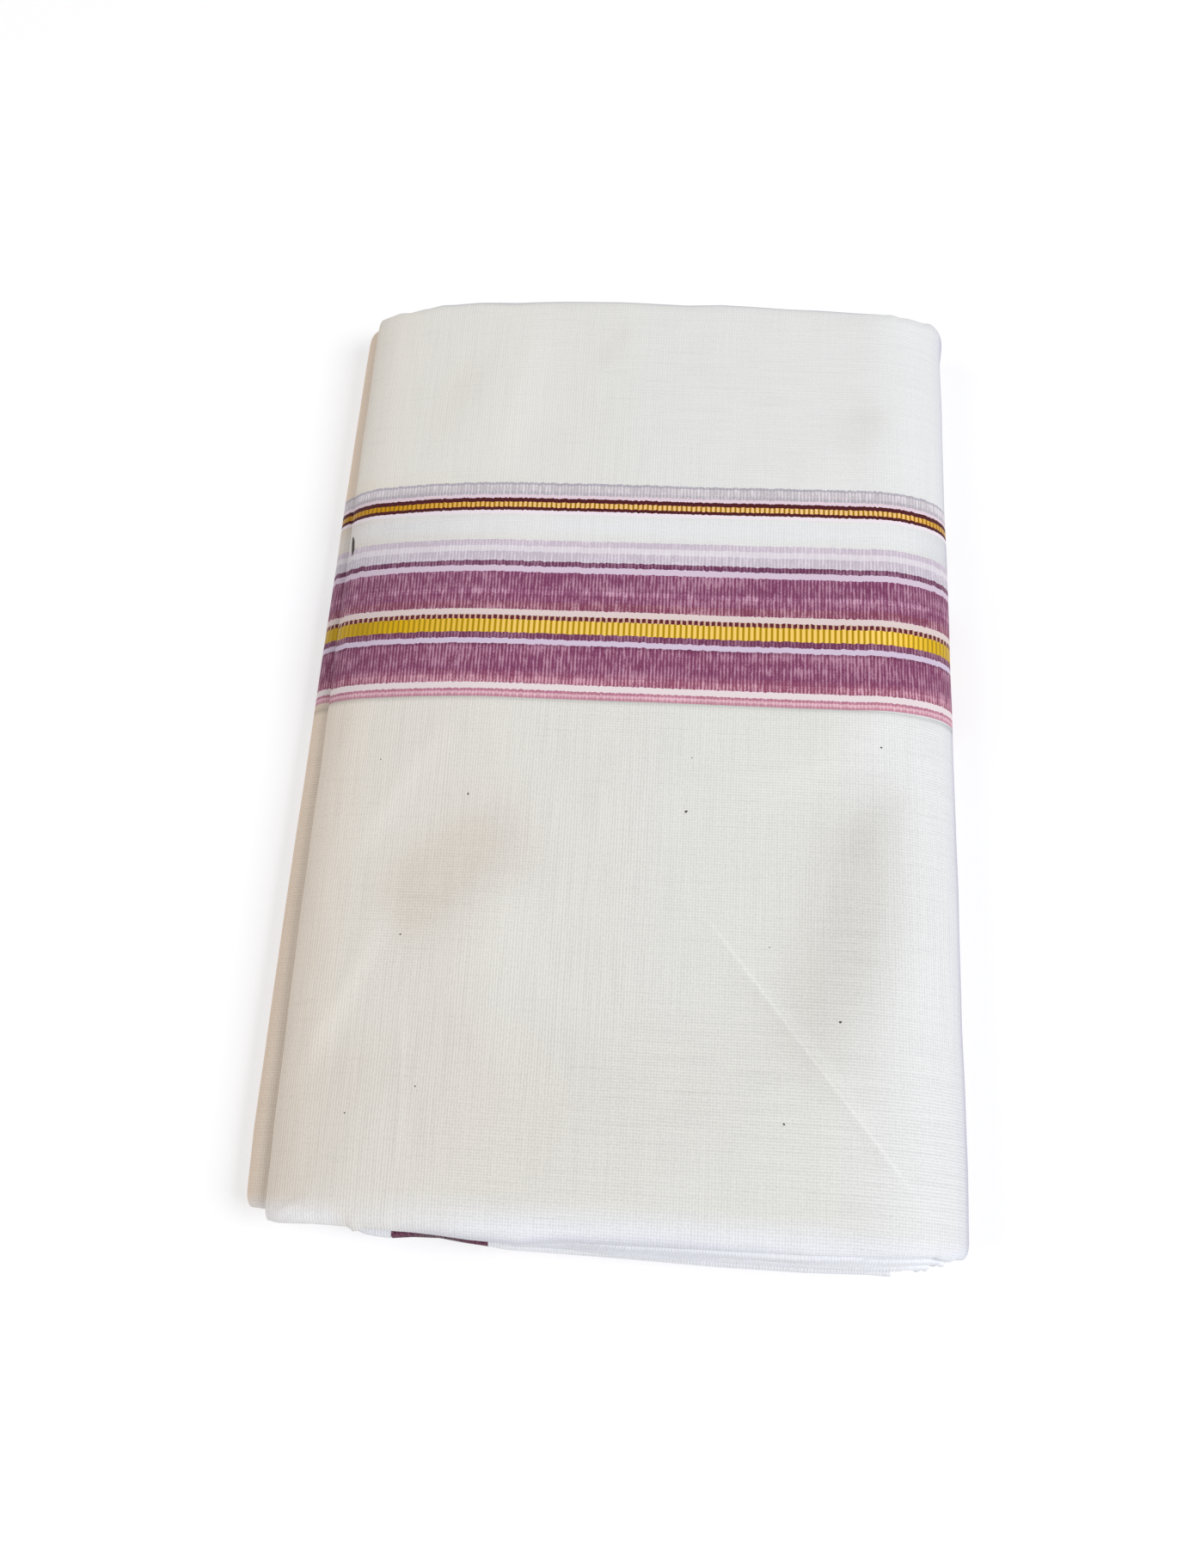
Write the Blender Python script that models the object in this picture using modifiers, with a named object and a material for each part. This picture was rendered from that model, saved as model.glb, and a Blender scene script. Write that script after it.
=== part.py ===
"""A dhoti folded into a flat packet, in metres, +Z up, lying on its underside.

The dhoti is one uncut woven length. Its width is halved, the two sides are turned in to the middle
as flaps, and the long strip is then halved until it is a packet. X runs across the packet, from its
open left side to the round fold on its right. Y runs from the near edge to the far edge. The origin
is the middle of the underside.

Two bundles of layers lie on each other, joined by the round fold on the right. The outer strip goes
round both of them and turns into the slit between them on the left, so it is one wall with a
C-shaped section. Its far half is the flap with the woven border and its near half the plain flap.
The layers inside share one rounded solid, whose near and far ends are layered like folded cloth.
"""

import bpy
import numpy as np

MM = 0.001

# Driving dimensions.
WALL = 1.0 * MM  # the outer strip, two thin layers of cloth and the air between them
GAP = 0.3 * MM  # between pieces that touch
SLACK = 0.45 * MM  # between the outer strip and the layers inside it
NOSE_SLACK = 1.3 * MM  # more of it in the tight bend of the upper nose
MIDDLE_SPLIT = 14.65 * MM  # height of the lower bundle away from its left edge
LEFT_SPLIT = 14.4 * MM  # height of the lower bundle at the slit
SLIT_GAP = 0.5 * MM  # opening of the slit between the two bundles
SLIT_END = -82.0 * MM  # how far in the outer strip reaches into the slit
SEAM = 4.35 * MM  # where the edges of the two flaps meet, close to the packet's middle

# The top slopes down towards the left, where the upper bundle thins out.
SLOPE_START = -38.0 * MM
SLOPE_RUN = 50.0 * MM
SLOPE_DROP = 6.1 * MM
SLOPE_POWER = 1.8

# The left edges of the two bundles, each a nose with its tip at this share of its height.
UPPER_TIP = 0.34
UPPER_NOSE_ABOVE = 11.0 * MM  # run of the nose above its tip
UPPER_NOSE_BELOW = 3.5 * MM
LOWER_TIP = 0.49
LOWER_NOSE_ABOVE = 9.0 * MM
LOWER_NOSE_BELOW = 6.5 * MM

# The round fold on the right: its furthest point is low, because the fold sags.
FOLD_HEIGHT = 11.5 * MM
FOLD_ABOVE = 28.5 * MM  # run of the curve above its furthest point
FOLD_BELOW = 14.5 * MM

# At the near and far ends the flaps roll over the edge, less so round the noses and the fold.
ROLL_RUN = 5.0 * MM
ROLL_DEPTH = 4.5 * MM
ROLL_ANGLES = (90, 66, 42, 20, 0)  # degrees, from the edge to the flat
ROLL_CLEARANCE = 0.2 * MM
UPPER_TIP_ROLL = 0.35  # share of the roll's depth at the upper nose's tip
UPPER_NOSE_ROLL = 0.45  # and where that nose meets the top
FOLD_ROLL = 0.75  # at the round fold's furthest point
LOWER_TIP_ROLL = 0.6  # and at the lower nose's tip

# One row for each station along the packet.
STATION_COLUMNS = ("y", "upper_nose", "lower_nose", "right_fold", "height")
STATIONS = MM * np.array(
    (
        (-160.0, -94.2, -103.0, 104.2, 28.9),
        (-130.0, -95.6, -104.4, 104.4, 29.2),
        (-60.0, -96.8, -104.8, 104.3, 29.4),
        (5.0, -97.4, -104.8, 104.4, 29.5),
        (85.0, -98.6, -104.8, 104.4, 29.4),
        (160.0, -99.2, -104.4, 104.8, 28.9),
    )
)

# One row for each place across the packet: where the flaps end, on the upper and the lower bundle.
EDGE_COLUMNS = ("x", "near_upper", "near_lower", "far_upper", "far_lower")
EDGES = MM * np.array(
    (
        (-104.8, -155.4, -152.4, 157.2, 156.4),
        (-97.0, -155.6, -152.7, 157.4, 156.8),
        (-88.0, -156.2, -153.4, 158.2, 157.4),
        (-60.0, -156.7, -155.0, 159.1, 158.6),
        (0.0, -156.5, -156.0, 160.1, 159.6),
        (60.0, -155.5, -155.4, 158.9, 158.6),
        (85.0, -154.4, -154.6, 157.3, 157.2),
        (104.8, -153.9, -153.9, 155.2, 155.2),
    )
)

# The folded layers at the near and far ends, from the underside up: which bundle each is in, the
# shares of the bundle's height between which it lies, where it ends on the right, and how far it
# stands past the flap's edge: at the left, in the middle and at the right, and at the far end.
LAYER_COLUMNS = ("bundle", "low", "high", "end", "left", "middle", "right", "far")
LAYERS = np.array(
    (
        (0, 0.267, 0.46, 88.0, -1.6, -0.6, -0.8, -1.0),
        (0, 0.46, 0.66, 90.0, -1.2, 0.4, 0.2, -0.6),
        (0, 0.66, 1.00, 84.0, -0.8, 0.6, 0.4, -0.9),
        (1, 0.00, 0.25, 89.6, -0.6, 1.9, 3.0, -0.5),
        (1, 0.25, 0.49, 92.6, -0.3, 1.3, 2.3, -0.8),
        (1, 0.49, 0.733, 96.2, -0.2, 0.7, 1.3, -0.4),
    )
)
LAYER_PLACES = (-1.0, -0.86, -0.4, 0.4, 0.86)  # levels of one layer, from groove to groove
ROLLED_SHARE = 0.267  # share of a bundle's height that lies inside a flap's rolled edge
ROLLED_PLACES = (0.3, 0.6, 0.85, 1.0)  # levels there, from the layers to the flap
NOSE_DEPTH = 1.5 * MM  # how far the grooves between folded layers go in
LEFT_FADE = 16.0 * MM  # how far in from the left noses the layers reach their full relief
END_STEP = 1.6 * MM  # how quickly a layer falls back at its right end
END_DROP = 1.7 * MM  # and how far
FREE_RUN = 2.0 * MM  # how far in from the flap's edge a layer reaches its full length
MIDDLE_STATIONS = MM * np.array((-130.0, -60.0, 5.0, 85.0, 130.0))

# The layer that stands out furthest at the near edge has the woven cross band in it.
BAND_LAYER = 2  # its row in the table above
BAND_START = -69.0 * MM
BAND_END = 82.0 * MM
BAND_BACK = -150.0 * MM  # where the piece ends inside the packet
BAND_MARGIN = 0.09  # share of the layer's height that is left free above and below the piece
BAND_NOSE = 1.6 * MM  # run of its round nose
SLOT_LEFT = 1.0 * MM  # room in the slot beyond the piece's left end
SLOT_RIGHT = 1.5 * MM  # and beyond its right end
BAND_COLUMNS = ("x", "reach")
BAND_EDGE = MM * np.array(
    (
        (-69.0, -157.2),
        (-60.0, -158.3),
        (-45.0, -158.2),
        (-30.0, -158.7),
        (-20.0, -159.4),
        (0.0, -159.5),
        (25.0, -160.1),
        (60.0, -160.1),
        (82.0, -159.6),
    )
)

COTTON = (0.775, 0.768, 0.735)
SHADED_COTTON = (0.640, 0.605, 0.560)
CROSS_BAND = (0.260, 0.085, 0.150)


def column(table, names, name, at):
    """One column of a table, read at these places of its first column."""
    return np.interp(at, table[:, 0], table[:, names.index(name)])


def height(x, y):
    """Height of the packet's top, with no nose or fold: level, then sloping down to the left."""
    slope = np.clip((SLOPE_START - x) / SLOPE_RUN, 0.0, None) ** SLOPE_POWER
    return column(STATIONS, STATION_COLUMNS, "height", y) - SLOPE_DROP * slope


def split(x):
    """Height of the plane between the two bundles."""
    share = np.clip((x - SLIT_END) / (SLOPE_START - SLIT_END), 0.0, 1.0)
    return LEFT_SPLIT + (MIDDLE_SPLIT - LEFT_SPLIT) * share


def arc(steps, first=0, last=90):
    """Sines and cosines of equally spaced angles."""
    angles = np.radians(np.linspace(first, last, steps + 1))
    return np.sin(angles), np.cos(angles)


def fold_x(z, y, inset=0.0):
    """Where the round fold on the right reaches at height z: a quarter ellipse above, one below."""
    tip = column(STATIONS, STATION_COLUMNS, "right_fold", y)
    top = column(STATIONS, STATION_COLUMNS, "height", y)
    above = np.clip((z - FOLD_HEIGHT) / (top - inset - FOLD_HEIGHT), 0.0, 1.0)
    below = np.clip((FOLD_HEIGHT - z) / (FOLD_HEIGHT - inset), 0.0, 1.0)
    run = np.where(z > FOLD_HEIGHT, FOLD_ABOVE, FOLD_BELOW)
    share = np.where(z > FOLD_HEIGHT, above, below)
    return tip - run + (run - inset) * np.sqrt(1.0 - share**2)


def nose_x(tip, share, tip_share, run_below, run_above, inset=0.0):
    """Where a bundle's left nose reaches at this share of the bundle's height."""
    above = np.clip((share - tip_share) / (1.0 - tip_share), 0.0, 1.0)
    below = np.clip((tip_share - share) / tip_share, 0.0, 1.0)
    run = np.where(share > tip_share, run_above, run_below)
    part = np.where(share > tip_share, above, below)
    return tip + run - (run - inset) * np.sqrt(1.0 - part**2)


def outline(y):
    """The outer strip's section at station y, from inside the slit over the top and back.

    Returns x, z, whether a point is on the upper half, and the share of the roll it takes at the
    ends. Each nose and fold is quarter ellipses by equal angles, and between them x goes in steps.
    """
    upper_tip = column(STATIONS, STATION_COLUMNS, "upper_nose", y)
    lower_tip = column(STATIONS, STATION_COLUMNS, "lower_nose", y)
    fold_tip = column(STATIONS, STATION_COLUMNS, "right_fold", y)
    top_height = column(STATIONS, STATION_COLUMNS, "height", y)

    def upper_point(x, share):
        low = split(x) + SLIT_GAP / 2
        return x, low + share * (height(x, y) - low)

    def lower_point(x, share):
        return x, share * (split(x) - SLIT_GAP / 2)

    parts = []
    lip_x = np.linspace(SLIT_END, upper_tip + UPPER_NOSE_BELOW, 3)[:-1]
    parts.append((*upper_point(lip_x, 0.0), 1, np.zeros(2)))
    rise, run = arc(4)
    x = upper_tip + UPPER_NOSE_BELOW * (1.0 - rise)
    share = UPPER_TIP * (1.0 - run)
    parts.append((*upper_point(x, share), 1, UPPER_TIP_ROLL * rise))
    rise, run = arc(5)
    x = upper_tip + UPPER_NOSE_ABOVE * (1.0 - run)
    share = UPPER_TIP + (1.0 - UPPER_TIP) * rise
    weight = np.linspace(UPPER_TIP_ROLL, UPPER_NOSE_ROLL, len(rise))
    parts.append((*(a[1:] for a in upper_point(x, share)), 1, weight[1:]))
    x = np.linspace(upper_tip + UPPER_NOSE_ABOVE, fold_tip - FOLD_ABOVE, 14)[1:-1]
    weight = (height(x, y) - split(x)) / MIDDLE_SPLIT
    parts.append((*upper_point(x, 1.0), 1, weight))
    rise, run = arc(8)
    x = fold_tip - FOLD_ABOVE * (1.0 - rise)
    z = FOLD_HEIGHT + (top_height - FOLD_HEIGHT) * run
    parts.append((x, z, 1, 1.0 - (1.0 - FOLD_ROLL) * rise))
    rise, run = arc(6)
    x = fold_tip - FOLD_BELOW * (1.0 - run[1:])
    z = FOLD_HEIGHT * (1.0 - rise[1:])
    parts.append((x, z, 0, FOLD_ROLL + (1.0 - FOLD_ROLL) * rise[1:]))
    x = np.linspace(fold_tip - FOLD_BELOW, lower_tip + LOWER_NOSE_BELOW, 8)[1:-1]
    parts.append((*lower_point(x, 0.0), 0, np.ones(6)))
    rise, run = arc(5)
    x = lower_tip + LOWER_NOSE_BELOW * (1.0 - rise)
    share = LOWER_TIP * (1.0 - run)
    parts.append((*lower_point(x, share), 0, 1.0 - (1.0 - LOWER_TIP_ROLL) * rise))
    rise, run = arc(6)
    x = lower_tip + LOWER_NOSE_ABOVE * (1.0 - run[1:])
    share = LOWER_TIP + (1.0 - LOWER_TIP) * rise[1:]
    parts.append((*lower_point(x, share), 0, LOWER_TIP_ROLL * run[1:]))
    lip_x = np.linspace(lower_tip + LOWER_NOSE_ABOVE, SLIT_END, 3)[1:]
    parts.append((*lower_point(lip_x, 1.0), 0, np.zeros(2)))

    x = np.concatenate([part[0] for part in parts])
    z = np.concatenate([part[1] for part in parts])
    upper = np.concatenate([np.full(len(part[0]), part[2]) for part in parts])
    weight = np.concatenate([part[3] for part in parts])
    return x, z, upper.astype(bool), weight


def inward(x, z):
    """Unit vectors at the outline's points, pointing into the packet."""
    dx, dz = np.gradient(x), np.gradient(z)
    length = np.hypot(dx, dz)
    return dz / length, -dx / length


def flap_points(end, seam, straight):
    """The outer surface of one flap as a grid: a row for each station, a column for each point.

    From the end to the seam: the rolled edge is a quarter ellipse, by which each point of the
    section moves in, and the rest runs straight to the seam through the stations' sections.
    """
    rows = []
    side = "near" if end < 0 else "far"
    toward = 1.0 if end < 0 else -1.0

    def edge_of(x, upper):
        on_upper = column(EDGES, EDGE_COLUMNS, side + "_upper", x)
        on_lower = column(EDGES, EDGE_COLUMNS, side + "_lower", x)
        return np.where(upper, on_upper, on_lower)

    for angle in np.radians(ROLL_ANGLES):
        x, z, upper, weight = outline(end)
        y = edge_of(x, upper) + toward * ROLL_RUN * (1.0 - np.sin(angle))
        depth = ROLL_DEPTH * (1.0 - np.cos(angle)) * weight
        x_in, z_in = inward(x, z)
        rows.append(np.stack([x + depth * x_in, y, z + depth * z_in], axis=1))
    for station in (*straight, seam):
        x, z, upper, weight = outline(station)
        rows.append(np.stack([x, np.full_like(x, station), z], axis=1))
    return np.array(rows)


def new_object(name, vertices, faces, material, collection):
    mesh = bpy.data.meshes.new(name)
    mesh.from_pydata(vertices.tolist(), [], faces)
    mesh.update()
    mesh.materials.append(material)
    mesh.shade_smooth()
    mesh.set_sharp_from_angle(angle=np.radians(50))
    obj = bpy.data.objects.new(name, mesh)
    collection.objects.link(obj)
    return obj


def grid_faces(rows, columns, flip=False):
    """Quads over a grid whose points are numbered row by row."""
    faces = []
    for row in range(rows - 1):
        for col in range(columns - 1):
            a = row * columns + col
            quad = (a, a + 1, a + columns + 1, a + columns)
            faces.append(quad[::-1] if flip else quad)
    return faces


def make_flap(name, end, seam, straight, material, collection):
    points = flap_points(end, seam, straight)
    rows, columns = points.shape[:2]
    faces = grid_faces(rows, columns, flip=end > 0)
    flap = new_object(name, points.reshape(-1, 3), faces, material, collection)
    wall = flap.modifiers.new("cloth wall", "SOLIDIFY")
    wall.thickness = WALL
    wall.offset = -1.0
    wall.use_quality_normals = True
    return flap


def layer_value(index, name):
    return LAYERS[index, LAYER_COLUMNS.index(name)]


def level_table():
    """The levels of the layers inside: bundle, share of its height, layer or -1, place in layer.

    The place in the layer goes from -1 at its lower groove to 1 at its upper one, and for the
    rolled parts it is the share of the roll, 0 at the layers and 1 at the flap.
    """
    levels = [(0, ROLLED_SHARE * (1.0 - part), -1, part) for part in ROLLED_PLACES[::-1]]
    for index in range(len(LAYERS)):
        bundle, low, high = (layer_value(index, name) for name in ("bundle", "low", "high"))
        for place in LAYER_PLACES:
            levels.append((bundle, low + (high - low) * (place + 1) / 2, index, place))
        if index in (BAND_LAYER, len(LAYERS) - 1):
            levels.append((bundle, high, index, 1.0))
    levels += [(1, 1.0 - ROLLED_SHARE * (1.0 - part), -1, part) for part in ROLLED_PLACES]
    return levels


def last_of_lower(levels):
    """The row of the lower bundle's highest level, which the upper bundle's lowest one meets."""
    return max(row for row, level in enumerate(levels) if level[0] == 0)


def column_places():
    """Where the columns of the layers' ends stand: shares at the left and right, x between.

    The first two places between are those where the slot for the outer strip starts to close and
    where it is closed.
    """
    left = np.array((0.0, 0.08, 0.2, 0.4, 0.7))
    beyond_slit = SLIT_END + SLACK
    between = MM * np.array((-70.5, -69.6, -58.0, -40.0, -20.0, 0.0, 20.0, 40.0, 60.0, 74.0))
    middle = np.concatenate([(beyond_slit, beyond_slit + 2.5 * MM), between])
    right = np.array((0.3, 0.46, 0.58, 0.68, 0.78, 0.86, 0.93, 1.0))
    return left, middle, right


def inner_grid(y, levels):
    """x and z of the layers inside, a row for each level and a column for each place across."""
    inset = WALL + SLACK
    left, middle, right = column_places()
    bundle = np.array([level[0] for level in levels])
    share = np.array([level[1] for level in levels])
    upper_tip = column(STATIONS, STATION_COLUMNS, "upper_nose", y)
    lower_tip = column(STATIONS, STATION_COLUMNS, "lower_nose", y)
    lower_x = nose_x(lower_tip, share, LOWER_TIP, LOWER_NOSE_BELOW, LOWER_NOSE_ABOVE, inset)
    upper_inset = inset + NOSE_SLACK
    upper_x = nose_x(upper_tip, share, UPPER_TIP, UPPER_NOSE_BELOW, UPPER_NOSE_ABOVE, upper_inset)
    left_x = np.where(bundle == 1, upper_x, lower_x)
    level_z = np.where(
        bundle == 1,
        MIDDLE_SPLIT + share * (height(0.0, y) - inset - MIDDLE_SPLIT),
        inset + share * (MIDDLE_SPLIT - inset),
    )
    right_x = fold_x(level_z, y, inset)
    start, stop = middle[0], middle[-1]
    x = np.concatenate(
        [
            left_x[:, None] + (start - left_x[:, None]) * left[None],
            np.repeat(middle[None], len(levels), axis=0),
            stop + (right_x[:, None] - stop) * right[None],
        ],
        axis=1,
    )
    slot = (SLIT_GAP / 2 + inset) * np.clip((middle[1] - x) / (middle[1] - start), 0.0, 1.0)
    split_low = split(x) - slot
    split_high = split(x) + slot
    lower_z = inset + share[:, None] * (split_low - inset)
    upper_z = split_high + share[:, None] * (height(x, y) - inset - split_high)
    return x, np.where(bundle[:, None] == 1, upper_z, lower_z)


def depth_in_packet(x, z, y):
    """How deep points lie under the outer strip, and three values of its nearest point.

    These are the roll's depth, x, and whether the point is on the upper half.
    """
    outer_x, outer_z, upper, weight = outline(y)
    ax, az = outer_x[:-1], outer_z[:-1]
    dx, dz = np.diff(outer_x), np.diff(outer_z)
    along = ((x[..., None] - ax) * dx + (z[..., None] - az) * dz) / (dx**2 + dz**2)
    along = np.clip(along, 0.0, 1.0)
    distance = np.hypot(x[..., None] - ax - along * dx, z[..., None] - az - along * dz)
    distance[..., (weight[:-1] == 0.0)] = 1.0  # the strip inside the slit has no rolled edge
    nearest = distance.argmin(axis=-1)
    part = np.take_along_axis(along, nearest[..., None], axis=-1)[..., 0]
    near_weight = weight[nearest] + part * (weight[nearest + 1] - weight[nearest])
    near_x = ax[nearest] + part * dx[nearest]
    return distance.min(axis=-1), ROLL_DEPTH * near_weight, near_x, upper[nearest]


def end_reach(side, levels, x, z, station):
    """y of the layers' ends.

    Close under the outer strip they follow the inside of its rolled edge, a quarter ellipse. Deeper
    in, each layer is a nose between two grooves, and stands out past the strip by its reach.
    """
    toward = 1.0 if side == "near" else -1.0
    depth, roll_depth, near_x, upper = depth_in_packet(x, z, station)
    on_upper = column(EDGES, EDGE_COLUMNS, side + "_upper", near_x)
    on_lower = column(EDGES, EDGE_COLUMNS, side + "_lower", near_x)
    edge = toward * np.where(upper, on_upper, on_lower)
    inset = WALL + SLACK
    roll_start = np.maximum(roll_depth + SLACK, inset + GAP)
    turn = np.clip((roll_start - depth) / (roll_start - inset), 0.0, 1.0)
    roll_run = ROLL_RUN - WALL + ROLL_CLEARANCE
    in_roll = edge + inset + roll_run * (1.0 - np.sqrt(1.0 - turn**2))
    free = np.clip((depth - roll_start) / FREE_RUN, 0.0, 1.0)
    result = in_roll.copy()
    for row, (bundle, _, index, place) in enumerate(levels):
        if index < 0:
            continue
        half = "_upper" if bundle == 1 else "_lower"
        own_edge = toward * column(EDGES, EDGE_COLUMNS, side + half, x[row])
        if side == "near":
            near_reach = [layer_value(index, name) * MM for name in ("left", "middle", "right")]
            stands = np.interp(x[row], (BAND_START, 0.0, BAND_END), near_reach)
        else:
            stands = layer_value(index, "far") * MM
        relief = np.clip((x[row] - x[row, 0]) / LEFT_FADE, 0.0, 1.0)
        ends = np.clip((x[row] - layer_value(index, "end") * MM) / END_STEP, 0.0, 1.0)
        groove = NOSE_DEPTH * (1.0 - np.sqrt(1.0 - place**2))
        stands_out = own_edge + relief * (groove - stands) + END_DROP * ends
        result[row] = in_roll[row] + free[row] * (stands_out - in_roll[row])
        if side == "near" and index == BAND_LAYER and abs(place) < 1.0:
            inside = (x[row] > BAND_START - SLOT_LEFT) & (x[row] < BAND_END + SLOT_RIGHT)
            result[row] = np.where(inside, BAND_BACK + GAP, result[row])
    meet = last_of_lower(levels)
    result[meet : meet + 2] = result[meet : meet + 2].max(axis=0)
    return toward * result


def make_hidden_layers(material, collection):
    """The layers inside, as one solid: layered near and far ends, and rings of points between."""
    levels = level_table()
    last_lower = last_of_lower(levels)
    left, middle, right = column_places()
    columns = len(left) + len(middle) + len(right)
    slit_column = len(left) + 1
    rows = len(levels)

    ring = [(0, col) for col in range(columns - 1, -1, -1)]
    ring += [(row, 0) for row in range(1, last_lower + 1)]
    ring += [(last_lower, col) for col in range(1, slit_column + 1)]
    ring += [(last_lower + 1, col) for col in range(slit_column - 1, -1, -1)]
    ring += [(row, 0) for row in range(last_lower + 2, rows)]
    ring += [(rows - 1, col) for col in range(1, columns)]
    ring += [(row, columns - 1) for row in range(rows - 2, 0, -1) if row != last_lower + 1]
    ring_rows = np.array([row for row, _ in ring])
    ring_columns = np.array([col for _, col in ring])

    vertices, faces = [], []
    ends = {}
    for side in ("near", "far"):
        station = STATIONS[0 if side == "near" else -1, 0]
        x, z = inner_grid(station, levels)
        y = end_reach(side, levels, x, z, station)
        ends[side] = len(vertices)
        vertices += np.stack([x, y, z], axis=2).reshape(-1, 3).tolist()
        for row in range(rows - 1):
            if row == last_lower:
                continue
            for col in range(columns - 1):
                a = ends[side] + row * columns + col
                quad = (a, a + 1, a + columns + 1, a + columns)
                faces.append(quad if side == "near" else quad[::-1])

    on_ring = ring_rows * columns + ring_columns
    rings = [ends["near"] + on_ring]
    for station in MIDDLE_STATIONS:
        x, z = inner_grid(station, levels)
        first = len(vertices)
        points = np.stack([x, np.full_like(x, station), z], axis=2).reshape(-1, 3)
        vertices += points[on_ring].tolist()
        rings.append(first + np.arange(len(ring)))
    rings.append(ends["far"] + on_ring)
    for here, there in zip(rings[:-1], rings[1:]):
        for a, b, c, d in zip(here, np.roll(here, -1), np.roll(there, -1), there):
            faces.append((int(a), int(b), int(c), int(d)))

    core = new_object("hidden_layers", np.array(vertices), faces, material, collection)
    weld = core.modifiers.new("join the bundles", "WELD")
    weld.merge_threshold = 0.00005
    return core


def make_banded_layer(material, collection):
    """The layer with the cross band: a folded edge with a round nose, sat in its slot."""
    low, high = (layer_value(BAND_LAYER, name) for name in ("low", "high"))
    margin = BAND_MARGIN * (high - low)
    inset = WALL + SLACK
    x = np.union1d(BAND_EDGE[:, 0], np.linspace(BAND_START, BAND_END, 19))
    reach = column(BAND_EDGE, BAND_COLUMNS, "reach", x)
    floor = inset + (low + margin) * (split(x) - inset) + GAP
    ceiling = inset + (high - margin) * (split(x) - inset) - GAP
    middle = (floor + ceiling) / 2
    half = (ceiling - floor) / 2
    rise, run = arc(8, -90, 90)
    y = [np.full_like(x, BAND_BACK)]
    z = [floor]
    for up, out in zip(rise, run):
        y.append(reach + BAND_NOSE * (1.0 - out))
        z.append(middle + half * up)
    y.append(np.full_like(x, BAND_BACK))
    z.append(ceiling)
    y, z = np.array(y), np.array(z)
    count = len(y)
    points = np.stack([np.repeat(x[None], count, axis=0), y, z], axis=2).transpose(1, 0, 2)
    vertices = points.reshape(-1, 3)
    faces = []
    for station in range(len(x) - 1):
        for place in range(count):
            a = station * count + place
            b = station * count + (place + 1) % count
            faces.append((a, a + count, b + count, b))
    faces.append(tuple(range(count)))
    faces.append(tuple(range(len(vertices) - 1, len(vertices) - count - 1, -1)))
    return new_object("banded_layer", vertices, faces, material, collection)


def cotton(name, colour, roughness):
    material = bpy.data.materials.new(name)
    material.use_nodes = True
    shader = material.node_tree.nodes["Principled BSDF"]
    shader.inputs["Base Color"].default_value = (*colour, 1.0)
    shader.inputs["Roughness"].default_value = roughness
    shader.inputs["Metallic"].default_value = 0.0
    material.diffuse_color = (*colour, 1.0)
    return material


def main():
    for obj in list(bpy.data.objects):
        bpy.data.objects.remove(obj, do_unlink=True)
    packet = bpy.data.collections.new("folded dhoti")
    bpy.context.scene.collection.children.link(packet)

    near_straight = MM * np.array((-130.0, -95.0, -60.0, -28.0))
    far_straight = MM * np.array((130.0, 108.0, 85.0, 45.0))
    near_cloth = cotton("plain cotton", COTTON, 0.85)
    far_cloth = cotton("bordered cotton", COTTON, 0.85)
    inside = cotton("cotton inside", SHADED_COTTON, 0.9)
    band = cotton("cross band cotton", CROSS_BAND, 0.85)
    make_flap("plain_flap", STATIONS[0, 0], SEAM - GAP / 2, near_straight, near_cloth, packet)
    make_flap("bordered_flap", STATIONS[-1, 0], SEAM + GAP / 2, far_straight, far_cloth, packet)
    make_hidden_layers(inside, packet)
    make_banded_layer(band, packet)


main()
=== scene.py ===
"""The looks of a cotton dhoti folded into a flat packet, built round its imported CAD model.

All sizes are in metres, in the frame's axes: X across the packet, from its open left side to the
round fold on its right, Y from the near edge to the far edge, Z up, the underside at 0. The outer
strip is two thin shells that meet at the middle, one plain and one with the woven border. Inside
them lie four closed loops of folded strip, one in another, and one folded layer with a cross band.
"""

import bpy
import numpy as np
from mathutils import Matrix


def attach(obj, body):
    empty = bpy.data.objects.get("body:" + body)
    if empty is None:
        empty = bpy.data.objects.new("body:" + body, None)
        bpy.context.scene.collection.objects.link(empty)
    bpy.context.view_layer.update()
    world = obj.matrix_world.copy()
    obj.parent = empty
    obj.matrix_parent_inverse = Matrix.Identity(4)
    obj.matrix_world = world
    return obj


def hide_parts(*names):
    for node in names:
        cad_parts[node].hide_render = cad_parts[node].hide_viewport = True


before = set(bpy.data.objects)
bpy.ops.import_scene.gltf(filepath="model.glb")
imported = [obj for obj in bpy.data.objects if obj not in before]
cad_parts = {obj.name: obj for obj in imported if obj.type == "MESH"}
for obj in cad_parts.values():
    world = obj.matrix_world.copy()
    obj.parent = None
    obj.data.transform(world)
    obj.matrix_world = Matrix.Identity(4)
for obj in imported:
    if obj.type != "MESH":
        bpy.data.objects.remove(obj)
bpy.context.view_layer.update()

bl_info = {
    "name": "Folded dhoti",
    "version": (1, 0, 0),
    "blender": (4, 5, 0),
    "location": "View3D > Sidebar > Dhoti",
    "description": "Builds a folded cotton dhoti, its woven border and a plain studio",
    "category": "Add Mesh",
}

MM = 0.001

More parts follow.
